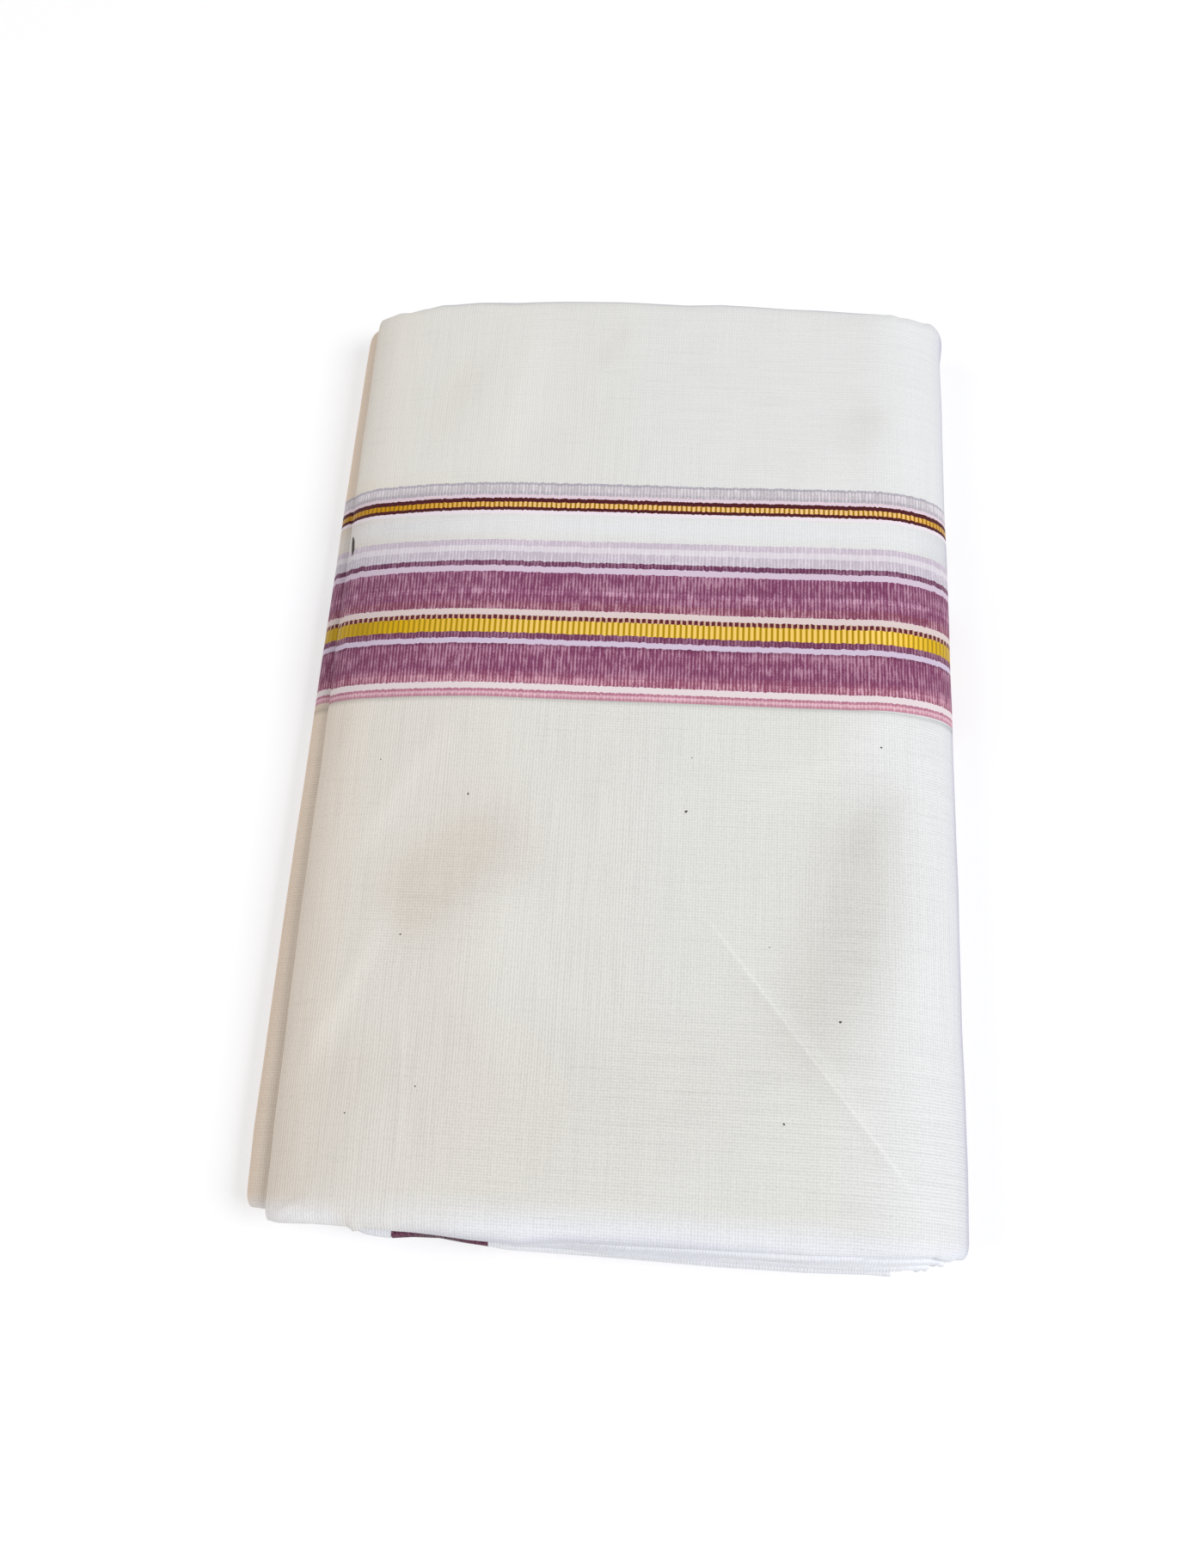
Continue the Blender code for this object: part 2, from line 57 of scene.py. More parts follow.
# The packet's form, as in the CAD model.
INSET = 1.45 * MM  # from the packet's outside to the layers inside it
NOSE_SLACK = 1.3 * MM
MIDDLE_SPLIT = 14.65 * MM
LEFT_SPLIT = 14.4 * MM
SLIT_GAP = 0.5 * MM
SLIT_END = -82.0 * MM
SLIT_CLOSED = -79.0 * MM
SEAM = 4.35 * MM
SEAM_GAP = 0.04 * MM
SLOPE_START = -38.0 * MM
SLOPE_RUN = 50.0 * MM
SLOPE_DROP = 6.1 * MM
SLOPE_POWER = 1.8
UPPER_TIP = 0.34
UPPER_NOSE_ABOVE = 11.0 * MM
UPPER_NOSE_BELOW = 3.5 * MM
LOWER_TIP = 0.49
LOWER_NOSE_ABOVE = 9.0 * MM
LOWER_NOSE_BELOW = 6.5 * MM
FOLD_HEIGHT = 11.5 * MM
FOLD_ABOVE = 28.5 * MM
FOLD_BELOW = 14.5 * MM

STATION_COLUMNS = ("y", "upper_nose", "lower_nose", "right_fold", "height")
STATIONS = MM * np.array(
    (
        (-160.0, -94.2, -103.0, 105.0, 28.9),
        (-130.0, -95.6, -104.4, 105.2, 29.2),
        (-60.0, -96.8, -104.8, 105.1, 29.4),
        (5.0, -97.4, -104.8, 105.0, 29.5),
        (85.0, -98.6, -104.8, 104.6, 29.4),
        (146.0, -99.1, -104.5, 104.4, 29.0),
        (153.5, -99.2, -104.4, 105.3, 28.9),
        (160.0, -99.2, -104.4, 105.4, 28.9),
    )
)

EDGE_COLUMNS = ("x", "near_upper", "near_lower", "far_upper", "far_lower")
EDGES = MM * np.array(
    (
        (-104.8, -155.4, -152.4, 157.2, 156.4),
        (-97.0, -155.6, -152.7, 157.4, 156.8),
        (-88.0, -156.2, -153.4, 158.2, 157.4),
        (-60.0, -156.7, -155.0, 159.1, 158.6),
        (0.0, -156.5, -156.0, 160.1, 159.6),
        (60.0, -155.5, -155.4, 158.9, 158.6),
        (85.0, -154.4, -154.6, 157.3, 157.2),
        (104.8, -153.9, -153.9, 155.2, 155.2),
    )
)

# Small steps in the near edge of the upper half and in the far edge, added to them: x and y.
FAR_NICKS = MM * np.array(
    (
        (-104.8, 2.4), (-97.0, 1.2), (-94.0, 0.9), (-91.0, 1.1), (-87.0, 0.3), (-83.0, 0.5),
        (-79.5, 1.2), (-75.0, 1.9), (-70.0, 1.5), (-61.0, 1.4), (-47.0, 0.4), (-29.0, 0.8),
        (-10.0, 0.6), (2.0, 0.0), (14.0, -0.3), (26.0, 0.4), (38.0, 0.0), (50.0, -0.6),
        (74.0, -0.7), (83.0, -0.3), (86.4, 0.4), (88.4, 0.0), (92.0, 0.8), (95.0, 1.2),
        (98.0, 1.8), (101.0, 3.8), (105.4, 4.6),
    )
)
NEAR_NICKS = MM * np.array(
    (
        (-93.0, 0.0), (-90.5, -0.3), (-86.0, 0.0), (-81.0, 0.3), (-74.0, 0.4), (-68.3, 0.4),
        (-67.0, -0.9), (-65.6, -0.3), (-63.9, 0.3), (-50.0, 0.2), (-42.0, -0.2), (-34.0, -0.8),
        (-20.0, -1.2), (-13.0, -0.4), (-6.0, 0.2), (84.0, 0.0), (94.6, 0.4), (95.8, -0.1),
        (98.4, -0.4), (100.0, -0.3), (101.6, 0.1), (104.0, 0.0),
    )
)

# The rolled edge of each flap: how far it reaches in along the packet and down into it.
ROLL_RUN = 5.0 * MM
ROLL_DEPTH = 3.1 * MM
TUCK_RUN = 0.9 * MM
TUCK_DEPTH = 0.5 * MM

# How far each inner layer stands out past the flap's edge, in millimetres. The first column is
# its place in the stack: 0 at the underside, 1 at the slit and 2 at the top. The next five are
# for the near end, at these places across the packet.
REACH_PLACES = MM * np.array((-69.0, -31.0, 10.0, 82.0, 93.0))
REACH = np.array(
    (
        (0.10, -1.8, -1.4, -1.0, -1.4, -1.4, -1.6),
        (0.36, -1.6, -1.0, -0.6, -0.8, -0.8, -1.0),
        (0.56, -1.2, -0.6, 0.4, 0.2, 0.0, -0.6),
        (0.83, -0.8, -0.4, 0.6, 0.4, 0.2, -0.9),
        (1.06, -0.6, -0.7, 2.4, 3.1, 3.2, -0.5),
        (1.19, -0.6, -0.7, 2.2, 2.9, 2.6, -0.8),
        (1.31, -0.6, -0.8, 2.3, 3.1, 3.2, -0.6),
        (1.44, -0.7, -0.8, 1.2, 2.8, 2.9, -0.9),
        (1.56, -0.7, -0.9, 1.0, 1.9, 1.6, -0.5),
        (1.69, -0.7, -0.9, 1.1, 1.8, 1.5, -0.4),
        (1.81, -0.8, -0.9, 0.1, 0.2, 0.0, -0.6),
        (1.94, -0.8, -1.0, -0.3, -0.5, -0.5, -1.0),
    )
)

# The layer with the cross band: two folds, one on the other.
BAND_START = -69.0 * MM
BAND_END = 82.0 * MM
BAND_BACK = -140.0 * MM
BAND_LOW = 0.66
BAND_HIGH = 1.0
BAND_EDGE = MM * np.array(
    (
        (-69.0, -156.9), (-65.9, -157.9), (-62.1, -158.3), (-58.3, -158.4), (-52.0, -157.7),
        (-44.4, -157.5), (-37.1, -158.3), (-30.4, -158.8), (-24.6, -159.4), (-16.0, -159.4),
        (13.0, -159.7), (33.0, -160.1), (60.0, -160.0), (77.0, -159.4), (83.0, -159.5),
    )
)
CROSS_BAND = MM * np.array((-58.1, -30.0))  # where the purple band lies across the packet
BAND_ROOM = (1.0 * MM, 1.2 * MM)  # free room at its left and right in the layers inside
BAND_ROOM_BELOW = 0.04

# Its two folds: each one's name, the shares of the lower bundle's height that it lies between, and
# how far it stands back.
BAND_FOLDS = (
    ("cross_band_fold", 0.68, 0.835, 0.0),
    ("cross_band_fold_above", 0.84, 0.985, 0.5 * MM),
)
BAND_NOSE_POINTS = 13
BAND_RUN_ROWS = 6
BAND_COLUMNS = 120
BACK_WAVE = (0.6, 0.4, 17.0 * MM)  # how unevenly it stands back: middle, swing and length
# Painted shade and painted light on the cross band's folds.
BAND_PAINTED_SHADE, BAND_PAINTED_LIGHT = 0.1, 0.9

# Soft creases and hollows, listed one by one. Each has its place x, y, its angle in degrees
# from the X axis, its length, its width and its rise. Lengths are in millimetres.
CREASES = np.array(
    (
        (58.0, -101.0, -51.5, 88.0, 1.3, 0.30),
        (55.2, -103.3, -51.5, 80.0, 2.6, -0.10),
        (-50.0, -52.0, 40.0, 50.0, 14.0, -0.85),
        (-77.8, -89.8, 68.7, 50.3, 3.6, 0.50),
        (-69.1, -27.9, 58.1, 42.4, 4.0, 0.45),
        (-58.0, -113.0, 96.7, 47.4, 1.3, 0.22),
        (-31.0, -77.0, 80.0, 40.0, 9.0, 0.30),
        (-48.0, -108.0, 72.0, 62.0, 15.0, -0.18),
        (-80.0, -128.0, 78.0, 50.0, 10.0, -0.50),
        (77.0, -32.0, 42.0, 34.0, 7.0, -0.26),
        (67.0, -68.0, 76.0, 78.0, 14.0, -0.65),
        (62.0, -12.0, 30.0, 54.0, 7.0, 0.40),
        (0.0, -118.0, 8.0, 90.0, 24.0, -0.30),
        (-66.0, 118.0, 70.0, 40.0, 9.0, -0.20),
        (-41.0, 122.0, 84.0, 62.0, 6.0, 0.30),
        (-12.0, 140.0, 60.0, 18.0, 4.0, -0.30),
        (73.0, 108.0, 60.0, 22.0, 8.0, -0.35),
        (92.0, 40.0, 88.0, 80.0, 7.0, -0.35),
        (-90.0, 20.0, 86.0, 70.0, 5.0, -0.30),
        (66.0, 92.0, 64.0, 50.0, 12.0, 0.15),
        (-86.6, -152.6, 24.0, 7.0, 1.3, 0.45),
        (-82.4, -154.4, 8.0, 6.0, 1.1, 0.30),
        (-87.0, -150.6, 20.0, 9.0, 1.6, -0.30),
    )
)

# Seed specks in the yarn, and last a short dark mark on the left fold: x, y, width and length in
# millimetres, and the angle of the length in degrees.
SPECKS = np.array(
    (
        (20.9, -31.1, 0.9, 1.0, 0.0),
        (67.3, -92.2, 0.9, 0.8, 0.0),
        (79.6, -7.7, 0.7, 0.7, 0.0),
        (51.7, -121.5, 0.7, 0.7, 0.0),
        (-46.3, -28.3, 0.5, 1.1, 100.0),
        (-75.7, -16.9, 0.4, 0.5, 0.0),
        (22.0, -13.7, 0.4, 0.4, 0.0),
        (-62.6, -73.0, 0.6, 0.6, 0.0),
        (46.8, -71.6, 0.4, 0.4, 0.0),
        (-73.1, -125.5, 0.5, 0.5, 0.0),
        (-53.0, -117.1, 0.5, 0.5, 0.0),
        (-96.4, 62.8, 1.0, 9.2, 97.0),
    )
)

# The border, in millimetres from the selvedge at the packet's middle. Each row is where a stripe
# starts, its colour, and what it is: its share of gold, of ribbed purple thread, and of dashes.
BORDER = (
    (0.0, "#BC8596", 0, 0.12, 0),
    (0.8, "#CFA3AF", 0, 0.1, 0),
    (1.6, "#AE7186", 0, 0.12, 0),
    (2.75, "#E2D5D7", 0, 0, 0),
    (4.9, "#8C4A63", 0, 0.6, 0),
    (7.4, "#82405F", 0, 0.5, 0),
    (9.0, "#79395C", 0, 0.6, 0),
    (17.8, "#6E3152", 0, 0.55, 0),
    (18.6, "#CDBDD2", 0, 0, 0),
    (20.6, "#6B3252", 0, 0.5, 0),
    (22.8, "#E8C052", 0.8, 0, 0),
    (27.5, "#5F1E28", 0, 0, 1),
    (29.0, "#D9C8C5", 0, 0, 0),
    (31.0, "#7E3E56", 0, 0.6, 0),
    (33.9, "#79395C", 0, 0.6, 0),
    (36.7, "#84486A", 0, 0.65, 0),
    (38.2, "#77395C", 0, 0.6, 0),
    (44.9, "#D0BECF", 0, 0, 0),
    (46.9, "#643050", 0, 0.55, 0),
    (49.0, "#BDB4BF", 0, 0.15, 0),
    (52.3, "#D6CFD6", 0, 0.05, 0),
    (54.4, "#C1B6C2", 0, 0.12, 0),
    (56.7, None, 0, 0, 0),
    (66.8, "#E9DDE5", 0, 0, 0),
    (67.9, "#4A1119", 0, 0, 0),
    (69.2, "#F2BE6E", 1, 0, 0),
    (71.2, "#4A1119", 0, 0, 0),
    (72.7, "#DCC9D3", 0, 0, 0),
    (73.8, "#ADA7AE", 0, 0.2, 0),
    (75.3, "#BBB5BA", 0, 0.18, 0),
    (77.8, "#A6A1AA", 0, 0.1, 0),
    (78.7, None, 0, 0, 0),
)
BORDER_WIDTH = 80.0  # millimetres that the table covers

WEAVE_PITCH = 0.86 * MM  # drawn about three times as coarse as the real yarn, so that it shows
PURPLE_PITCH = 1.1 * MM
GOLD_PITCH = 1.81 * MM
DASH_PITCH = 1.85 * MM
BEAD_PITCH = 1.6 * MM
SHELL = 0.45 * MM  # the doubled cloth of the outer strip
LAYER_SHELL = 0.3 * MM
LOOPS = 4
LAYERS_IN_BUNDLE = 2 * LOOPS

# Noise in the cloth, in cycles a metre along its two coordinates.
THREAD_DRIFT = (90.0, 12.0)  # a thread wanders over 83 mm along it, and 11 mm across
YARN = (0.7 / WEAVE_PITCH, 40.0)  # a bit thicker than one thread, 25 mm long
FIBRES = (1300.0, 1300.0)  # 0.8 mm both ways
WARP_PATCHES = (15.0, 12.0)  # 67 by 83 mm
SLUBS = (60.0, 1100.0)  # 17 mm long and 0.9 mm thick
STRIPE_EDGE = (900.0, 30.0)
PURPLE_RIBS = (900.0, 200.0)
DYE_PATCHES = (40.0, 260.0)
TWIST = (1700.0, 1500.0)
MOTTLE = (1500.0, 1900.0)
HUSK_GRAIN = 4000.0

# The weave as a height from 0 to 1. A range is from, to and the values at these two.
THREAD_WANDER = 9.0  # how far a thread's phase wanders, in radians
THREAD_SHARE = 0.3
YARN_SHARE = 0.45
FIBRE_SHARE = 0.38
WARP_RANGE = (0.35, 0.65, 0.85, 0.35)  # how much of the warp shows, by the noise
WARP_ACROSS = (0.1, 0.19, 0.2, -0.12)  # added to it, by the place round the section in metres

# The colour of the cream cloth: how much lighter or darker a thread and a slub are, and how much
# the painted shade darkens it, as in a hollow.
CREAM_VALUE = 0.985
THREAD_RANGE = (0.1, 0.5)
THREAD_DIP = 0.11
THREAD_PEAK = 0.08
SLUB_RANGE = (0.62, 0.76, 0.0, -0.03)
PAINTED_SHADE_STRENGTH = 0.1

PLAIN_ROUGHNESS = 0.9
PLAIN_DEPTH = 0.06 * MM  # how deep the light sees the threads
BAND_DEPTH = 0.12 * MM
BORDER_DEPTH = 0.1 * MM
BORDER_ROUGHNESS = 0.88
BORDER_CONTRAST = 0.7  # of the cream threads beside the border

# The sharp ironed crease, a painted highlight with a painted shade beside it: each line's distance
# from its middle, its half width and its change in value, then the share of the crease's length
# between which the lines fade.
CREASE_HIGHLIGHT_AND_SHADE = ((0.0, 0.8 * MM, 0.07), (-1.5 * MM, 2.0 * MM, -0.02))
LINE_FADE = (0.42, 0.6)

# The purple yarn, with the pale thread that shows between its columns.
STRIPE_STEP = 0.4 * MM
COMB_SHARE = 0.24
UNEVEN_SHARE = 0.5
COMB_RANGE = (0.86, 1.36, 0.0, 1.1)
PALE_YARN = {"Saturation": 0.55, "Value": 3.2}
DASH_LEVEL = 0.45  # of the sine wave, above which a dash is pale
PALE_DASH = "#C9A58E"

# The gold: its value and richness between the ribs and on them, a painted shade between them and a
# painted highlight on them, and how it dulls in the painted shade.
BEADED = 0.9  # share of gold above which it is the thin stripe of beads
RIB_RANGE = (-1.0, 0.3, 0.0, 1.0)
GOLD_RIB_SHADE_AND_HIGHLIGHT = (0.38, 1.32)
GOLD_RICHNESS = (1.28, 0.9)
GOLD_SHADE_SHARE = 0.55
GOLD_IN_SHADE = 0.5
GOLD_RICHER_IN_SHADE = 0.3
GOLD_METALLIC = 0.5
GOLD_ROUGHNESS = 0.42

# The cross band: its colour, its mottling, and how rich it is by the distance from its middle.
BAND_COLOUR = "#6E3A52"
MOTTLE_RANGE = (0.3, 0.7, 0.324, 1.368)
BAND_RICHNESS = (3.0 * MM, 10.0 * MM, 0.5, 0.9)
HUSK_COLOURS = ("#2A2523", "#524843")

# Tints of the flaps, which paint shade and light, and the masks they use: places in millimetres,
# and the strength at each.
TINTS = {
    "far side": ((75.0, 90.0), (0.0, 1.0)),
    "hollow": ((-0.7, 0.0), (1.0, 0.0)),
    "ridge": ((0.0, 0.5), (0.0, 1.0)),
    # Painted shade: warm to the left, in the hollows and low down.
    "painted shade left": ((-104.0, -98.0, -80.0, -55.0, -20.0, 20.0), (1.0, 0.65, 0.28, 0.18, 0.1, 0.0)),
    "less painted shade far": ((-101.0, -97.0), (0.0, 0.6)),
    "warm painted shade in hollows": ((-78.0, -62.0, -40.0, 40.0), (0.05, 0.2, 0.2, 0.08)),
    "painted shade below": ((0.0, 12.0), (0.3, 0.0)),
    # Painted light: cool at the near edge, at the right, over the far flap and at the lower nose's
    # near end.
    "cool near": ((-154.0, -145.0), (1.0, 0.0)),
    "cool near across": ((-88.0, -18.0), (0.0, 1.0)),
    "painted light right": ((60.0, 74.0, 90.0, 104.0), (0.0, 0.3, 0.4, 0.3)),
    "painted light far flap": ((-50.0, 30.0), (0.0, 0.3)),
    "corner from near": ((-153.5, -148.5), (1.0, 0.0)),
    "corner from left": ((-74.0, -66.0), (1.0, 0.0)),
    "above floor": ((2.0, 6.0), (0.0, 0.65)),
    # Painted shade in the hollows and at the border's ends, and painted light on the far left.
    "dark painted shade in hollows": ((20.0, 60.0), (0.65, 1.1)),
    "painted shade on border": ((-100.0, -80.0, -60.0, -35.0, 93.0, 103.0), (1.5, 1.0, 0.4, 0.0, 0.0, 1.1)),
    "painted light far left": ((-98.0, -90.0, -50.0, -20.0), (0.0, 0.35, 0.35, 0.0)),
    # Painted shade: lilac round the right fold and in thin lines along the far and near edges.
    "painted shade on right fold": ((92.0, 99.5, 102.8, 104.6), (0.0, 0.12, 0.3, 0.85)),
    "far line down": ((0.4, 1.2), (0.0, 0.6)),
    "far line": ((-85.0, -76.0, 74.0, 80.0), (0.0, 1.0, 1.0, 0.0)),
    "near line down": ((0.3, 1.5), (0.0, 0.3)),
    "near line": ((-58.0, -44.0, 20.0, 60.0), (0.0, 1.0, 1.0, 0.0)),
}
HOLLOW_TAKES_LIGHT = 0.7  # how far a hollow takes away the painted light at the right
# Painted highlight on the ridges, and painted light at the lower nose's near end.
RIDGE_LIGHT = 0.5
CORNER_LIGHT = 0.3
PALE_STRIP = (67.0, 6.0, 0.6)  # between the ghost stripes: its middle, half width and strength
STRIP_BELOW = 0.7  # its share on the lower half
BORDER_NEAR, BORDER_FAR = 4.0, 80.0  # where the border lies, in millimetres
LINE_FROM = 150.0  # the painted lilac shade lines lie past this, in millimetres
LINE_DEPTH = 3.3  # and the far one above this depth below the top

# Tints of the layers inside: painted shade over them all. Their ends turn cool with painted light
# between two distances from the middle, and are lilac with painted shade up to a place, in
# millimetres.
LAYER_PAINTED_SHADE = 0.25
LAYER_PAINTED_LIGHT = (148.0, 152.0)
FAR_PAINTED_LIGHT = 0.4
LAYER_PAINTED_EDGE_SHADE = ((-50.0, -30.0, 20.0, 70.0), (0.0, 0.13, 0.13, 0.0))
LILAC_TO = -140.0

# The lights: name, place, size in metres, watts and colour. They face the packet.
LIGHTS = (
    ("key light", (1.9, -0.35, 2.0), 1.2, 54.0, "#FBFCFF"),
    ("fill light", (-1.8, -0.1, 1.2), 2.0, 17.0, "#FFFAF4"),
)
OF_COLOURS = {"output": 2, "data_type": "RGBA"}  # a mix of colours rather than of numbers


class DhotiCotton(bpy.types.PropertyGroup):
    """Sizes and colours of the cloth."""

    shell: bpy.props.FloatProperty(
        name="Outer cloth",
        description="Thickness of the doubled cloth of the outer strip",
        default=SHELL,
        min=0.0001,
        max=0.001,
        unit="LENGTH",
    )
    relief: bpy.props.FloatProperty(
        name="Creases",
        description="How strongly the soft creases stand out",
        default=1.0,
        min=0.0,
        max=2.0,
        subtype="FACTOR",
    )
    cream: bpy.props.StringProperty(
        name="Cotton",
        description="Colour of the unbleached cotton, as sRGB hex",
        default="#DBDBD6",
    )
    # The painted shade: warm, to the left, in the hollows and low down.
    shadow: bpy.props.StringProperty(
        name="Cotton in painted shade",
        description="Colour of the painted shade on the cotton, as sRGB hex",
        default="#D8C5B2",
    )
    # The painted light: cool, at the near and right edges and the layers' ends. It also gives the
    # paler strip by the border.
    cool: bpy.props.StringProperty(
        name="Painted light on edges",
        description="Colour of painted light on the edges, also of the pale strip, as sRGB hex",
        default="#E5E7EC",
    )
    # The painted shade: lilac, round the right fold and in thin lines along the far and near edges.
    lilac: bpy.props.StringProperty(
        name="Painted edge shade",
        description="Colour of the painted shade round the right fold and along the edges, as sRGB hex",
        default="#A8A7B9",
    )


class DhotiStudio(bpy.types.PropertyGroup):
    """Sizes of the stage."""

    distance: bpy.props.FloatProperty(
        name="Camera distance",
        description="From the camera to the point that it looks at",
        default=0.4272,
        unit="LENGTH",
    )
    lens: bpy.props.FloatProperty(
        name="Lens",
        description="Focal length of the camera in millimetres",
        default=29.6,
    )
    floor: bpy.props.StringProperty(
        name="Floor",
        description="Colour of the floor, as sRGB hex",
        default="#FDFDFE",
    )


def column(table, names, name, at):
    """One column of a table, read at these places of its first column."""
    return np.interp(at, table[:, 0], table[:, names.index(name)])


def station(name, y):
    """A column of the stations' table at y."""
    return column(STATIONS, STATION_COLUMNS, name, y)


def height(x, y):
    """Height of the packet's top: level, then sloping down to the left by a power of the run."""
    slope = np.clip((SLOPE_START - x) / SLOPE_RUN, 0.0, None) ** SLOPE_POWER
    return station("height", y) - SLOPE_DROP * slope


def split(x):
    """Height of the plane between the two bundles."""
    share = np.clip((x - SLIT_END) / (SLOPE_START - SLIT_END), 0.0, 1.0)
    return LEFT_SPLIT + (MIDDLE_SPLIT - LEFT_SPLIT) * share


def upper_z(x, y, share):
    low = split(x) + SLIT_GAP / 2
    return low + share * (height(x, y) - low)


def lower_z(x, share):
    return share * (split(x) - SLIT_GAP / 2)


# The stretches of the outer strip's section, from the slit over the top and round to the slit
# again, and the number of steps in each.
STRETCHES = (
    ("upper lip", 8),
    ("under the upper nose", 8),
    ("over the upper nose", 14),
    ("top", 150),
    ("over the fold", 34),
    ("under the fold", 18),
    ("underside", 56),
    ("under the lower nose", 9),
    ("over the lower nose", 12),
    ("lower lip", 8),
)
UPPER_STRETCHES = 5  # of them belong to the upper half

# Share of the roll that the strip takes inside the slit and at the tips of the noses and the fold.
LIP_ROLL = 0.15
UPPER_TIP_ROLL = 0.35
LOWER_TIP_ROLL = 0.6
FOLD_ROLL = 0.75
ROLL_POWER = 1.5  # by which it grows over the upper nose


def section_stretch(name, t, y):
    """x, z and the share of the roll of one stretch, for t from 0 to 1 along it.

    Noses and folds are quarter ellipses by equal angles. Between them x runs evenly.
    """
    rise, run = np.sin(t * np.pi / 2), np.cos(t * np.pi / 2)
    upper_tip, lower_tip = station("upper_nose", y), station("lower_nose", y)
    fold_tip = station("right_fold", y)
    if name == "upper lip":
        x = SLIT_END + (upper_tip + UPPER_NOSE_BELOW - SLIT_END) * t
        return x, upper_z(x, y, 0.0), LIP_ROLL + 0.0 * x
    if name == "under the upper nose":
        x = upper_tip + UPPER_NOSE_BELOW * (1.0 - rise)
        roll = LIP_ROLL + (UPPER_TIP_ROLL - LIP_ROLL) * rise
        return x, upper_z(x, y, UPPER_TIP * (1.0 - run)), roll + 0.0 * x
    if name == "over the upper nose":
        x = upper_tip + UPPER_NOSE_ABOVE * (1.0 - run)
        z = upper_z(x, y, UPPER_TIP + (1.0 - UPPER_TIP) * rise)
        top_x = upper_tip + UPPER_NOSE_ABOVE
        top_roll = (height(top_x, y) - split(top_x)) / MIDDLE_SPLIT
        return x, z, UPPER_TIP_ROLL + (top_roll - UPPER_TIP_ROLL) * t**ROLL_POWER
    if name == "top":
        x = upper_tip + UPPER_NOSE_ABOVE
        x = x + (fold_tip - FOLD_ABOVE - x) * t
        return x, upper_z(x, y, 1.0), np.minimum((height(x, y) - split(x)) / MIDDLE_SPLIT, 1.0)
    if name == "over the fold":
        x = fold_tip - FOLD_ABOVE * (1.0 - rise)
        z = FOLD_HEIGHT + (station("height", y) - FOLD_HEIGHT) * run
        return x, z, 1.0 - (1.0 - FOLD_ROLL) * rise + 0.0 * x
    if name == "under the fold":
        x = fold_tip - FOLD_BELOW * (1.0 - run)
        z = FOLD_HEIGHT * (1.0 - rise)
        return x, z + 0.0 * x, FOLD_ROLL + (1.0 - FOLD_ROLL) * rise + 0.0 * x
    if name == "underside":
        x = fold_tip - FOLD_BELOW
        x = x + (lower_tip + LOWER_NOSE_BELOW - x) * t
        return x, 0.0 * x, 1.0 + 0.0 * x
    if name == "under the lower nose":
        x = lower_tip + LOWER_NOSE_BELOW * (1.0 - rise)
        roll = 1.0 - (1.0 - LOWER_TIP_ROLL) * rise
        return x, lower_z(x, LOWER_TIP * (1.0 - run)), roll + 0.0 * x
    if name == "over the lower nose":
        x = lower_tip + LOWER_NOSE_ABOVE * (1.0 - run)
        z = lower_z(x, LOWER_TIP + (1.0 - LOWER_TIP) * rise)
        return x, z, LIP_ROLL + (LOWER_TIP_ROLL - LIP_ROLL) * run + 0.0 * x
    x = lower_tip + LOWER_NOSE_ABOVE
    x = x + (SLIT_END - x) * t
    return x, lower_z(x, 1.0), LIP_ROLL + 0.0 * x


def outer_section(y):
    """The outer strip's section at stations y, an array with one column or one for each point.

    Returns x, z, the share of the roll, and whether a point is on the upper half.
    """
    parts, upper = [], []
    first = 0
    for index, (name, steps) in enumerate(STRETCHES):
        count = steps + (1 if index == len(STRETCHES) - 1 else 0)
        here = y if y.shape[1] == 1 else y[:, first : first + count]
        parts.append(section_stretch(name, np.arange(count) / steps, here))
        upper.append(np.full(count, index < UPPER_STRETCHES))
        first += count
    x, z, roll = (np.concatenate([part[i] for part in parts], axis=1) for i in range(3))
    return x, z, roll, np.concatenate(upper)


def edge_of(side, x, upper):
    """y of a flap's edge at x, on the upper or the lower half."""
    on_upper = column(EDGES, EDGE_COLUMNS, side + "_upper", x)
    on_lower = column(EDGES, EDGE_COLUMNS, side + "_lower", x)
    if side == "far":
        return np.where(upper, on_upper, on_lower) + np.interp(x, *FAR_NICKS.T)
    return np.where(upper, on_upper + np.interp(x, *NEAR_NICKS.T), on_lower)


CREASE_WANDER = 0.02  # of its length, by which a crease bends to and fro
CREASE_TURNS = 5.0  # radians of that bend along it

# Long waves: their direction in degrees, their pitch in millimetres, their phase, and their rise in
# millimetres.
WAVES = (
    (12.0, 61.0, 0.4, 0.10),
    (74.0, 83.0, 2.1, 0.12),
    (128.0, 47.0, 4.0, 0.07),
    (95.0, 29.0, 1.2, 0.045),
    (33.0, 23.0, 5.1, 0.03),
    (158.0, 17.0, 3.3, 0.02),
)


def creases(x, y):
    """Height of the listed creases: each a bell across its width and along its length."""
    total = np.zeros_like(x)
    for cx, cy, angle, length, width, rise in CREASES:
        turn = np.radians(angle)
        dx, dy = x / MM - cx, y / MM - cy
        along = dx * np.cos(turn) + dy * np.sin(turn)
        across = -dx * np.sin(turn) + dy * np.cos(turn)
        wander = CREASE_WANDER * length * np.sin(along / length * CREASE_TURNS + cx)
        bell = np.exp(-(((across - wander) / width) ** 2) - np.abs(along / (length / 2)) ** 4)
        total += rise * MM * bell
    return total


def waves(x, y):
    """Faint unevenness of the stacked cloth: sums of long sine waves in several directions."""
    total = np.zeros_like(x)
    for angle, pitch, phase, rise in WAVES:
        turn = np.radians(angle)
        along = (x * np.cos(turn) + y * np.sin(turn)) / (pitch * MM)
        total += rise * MM * np.sin(2 * np.pi * along + phase)
    return total


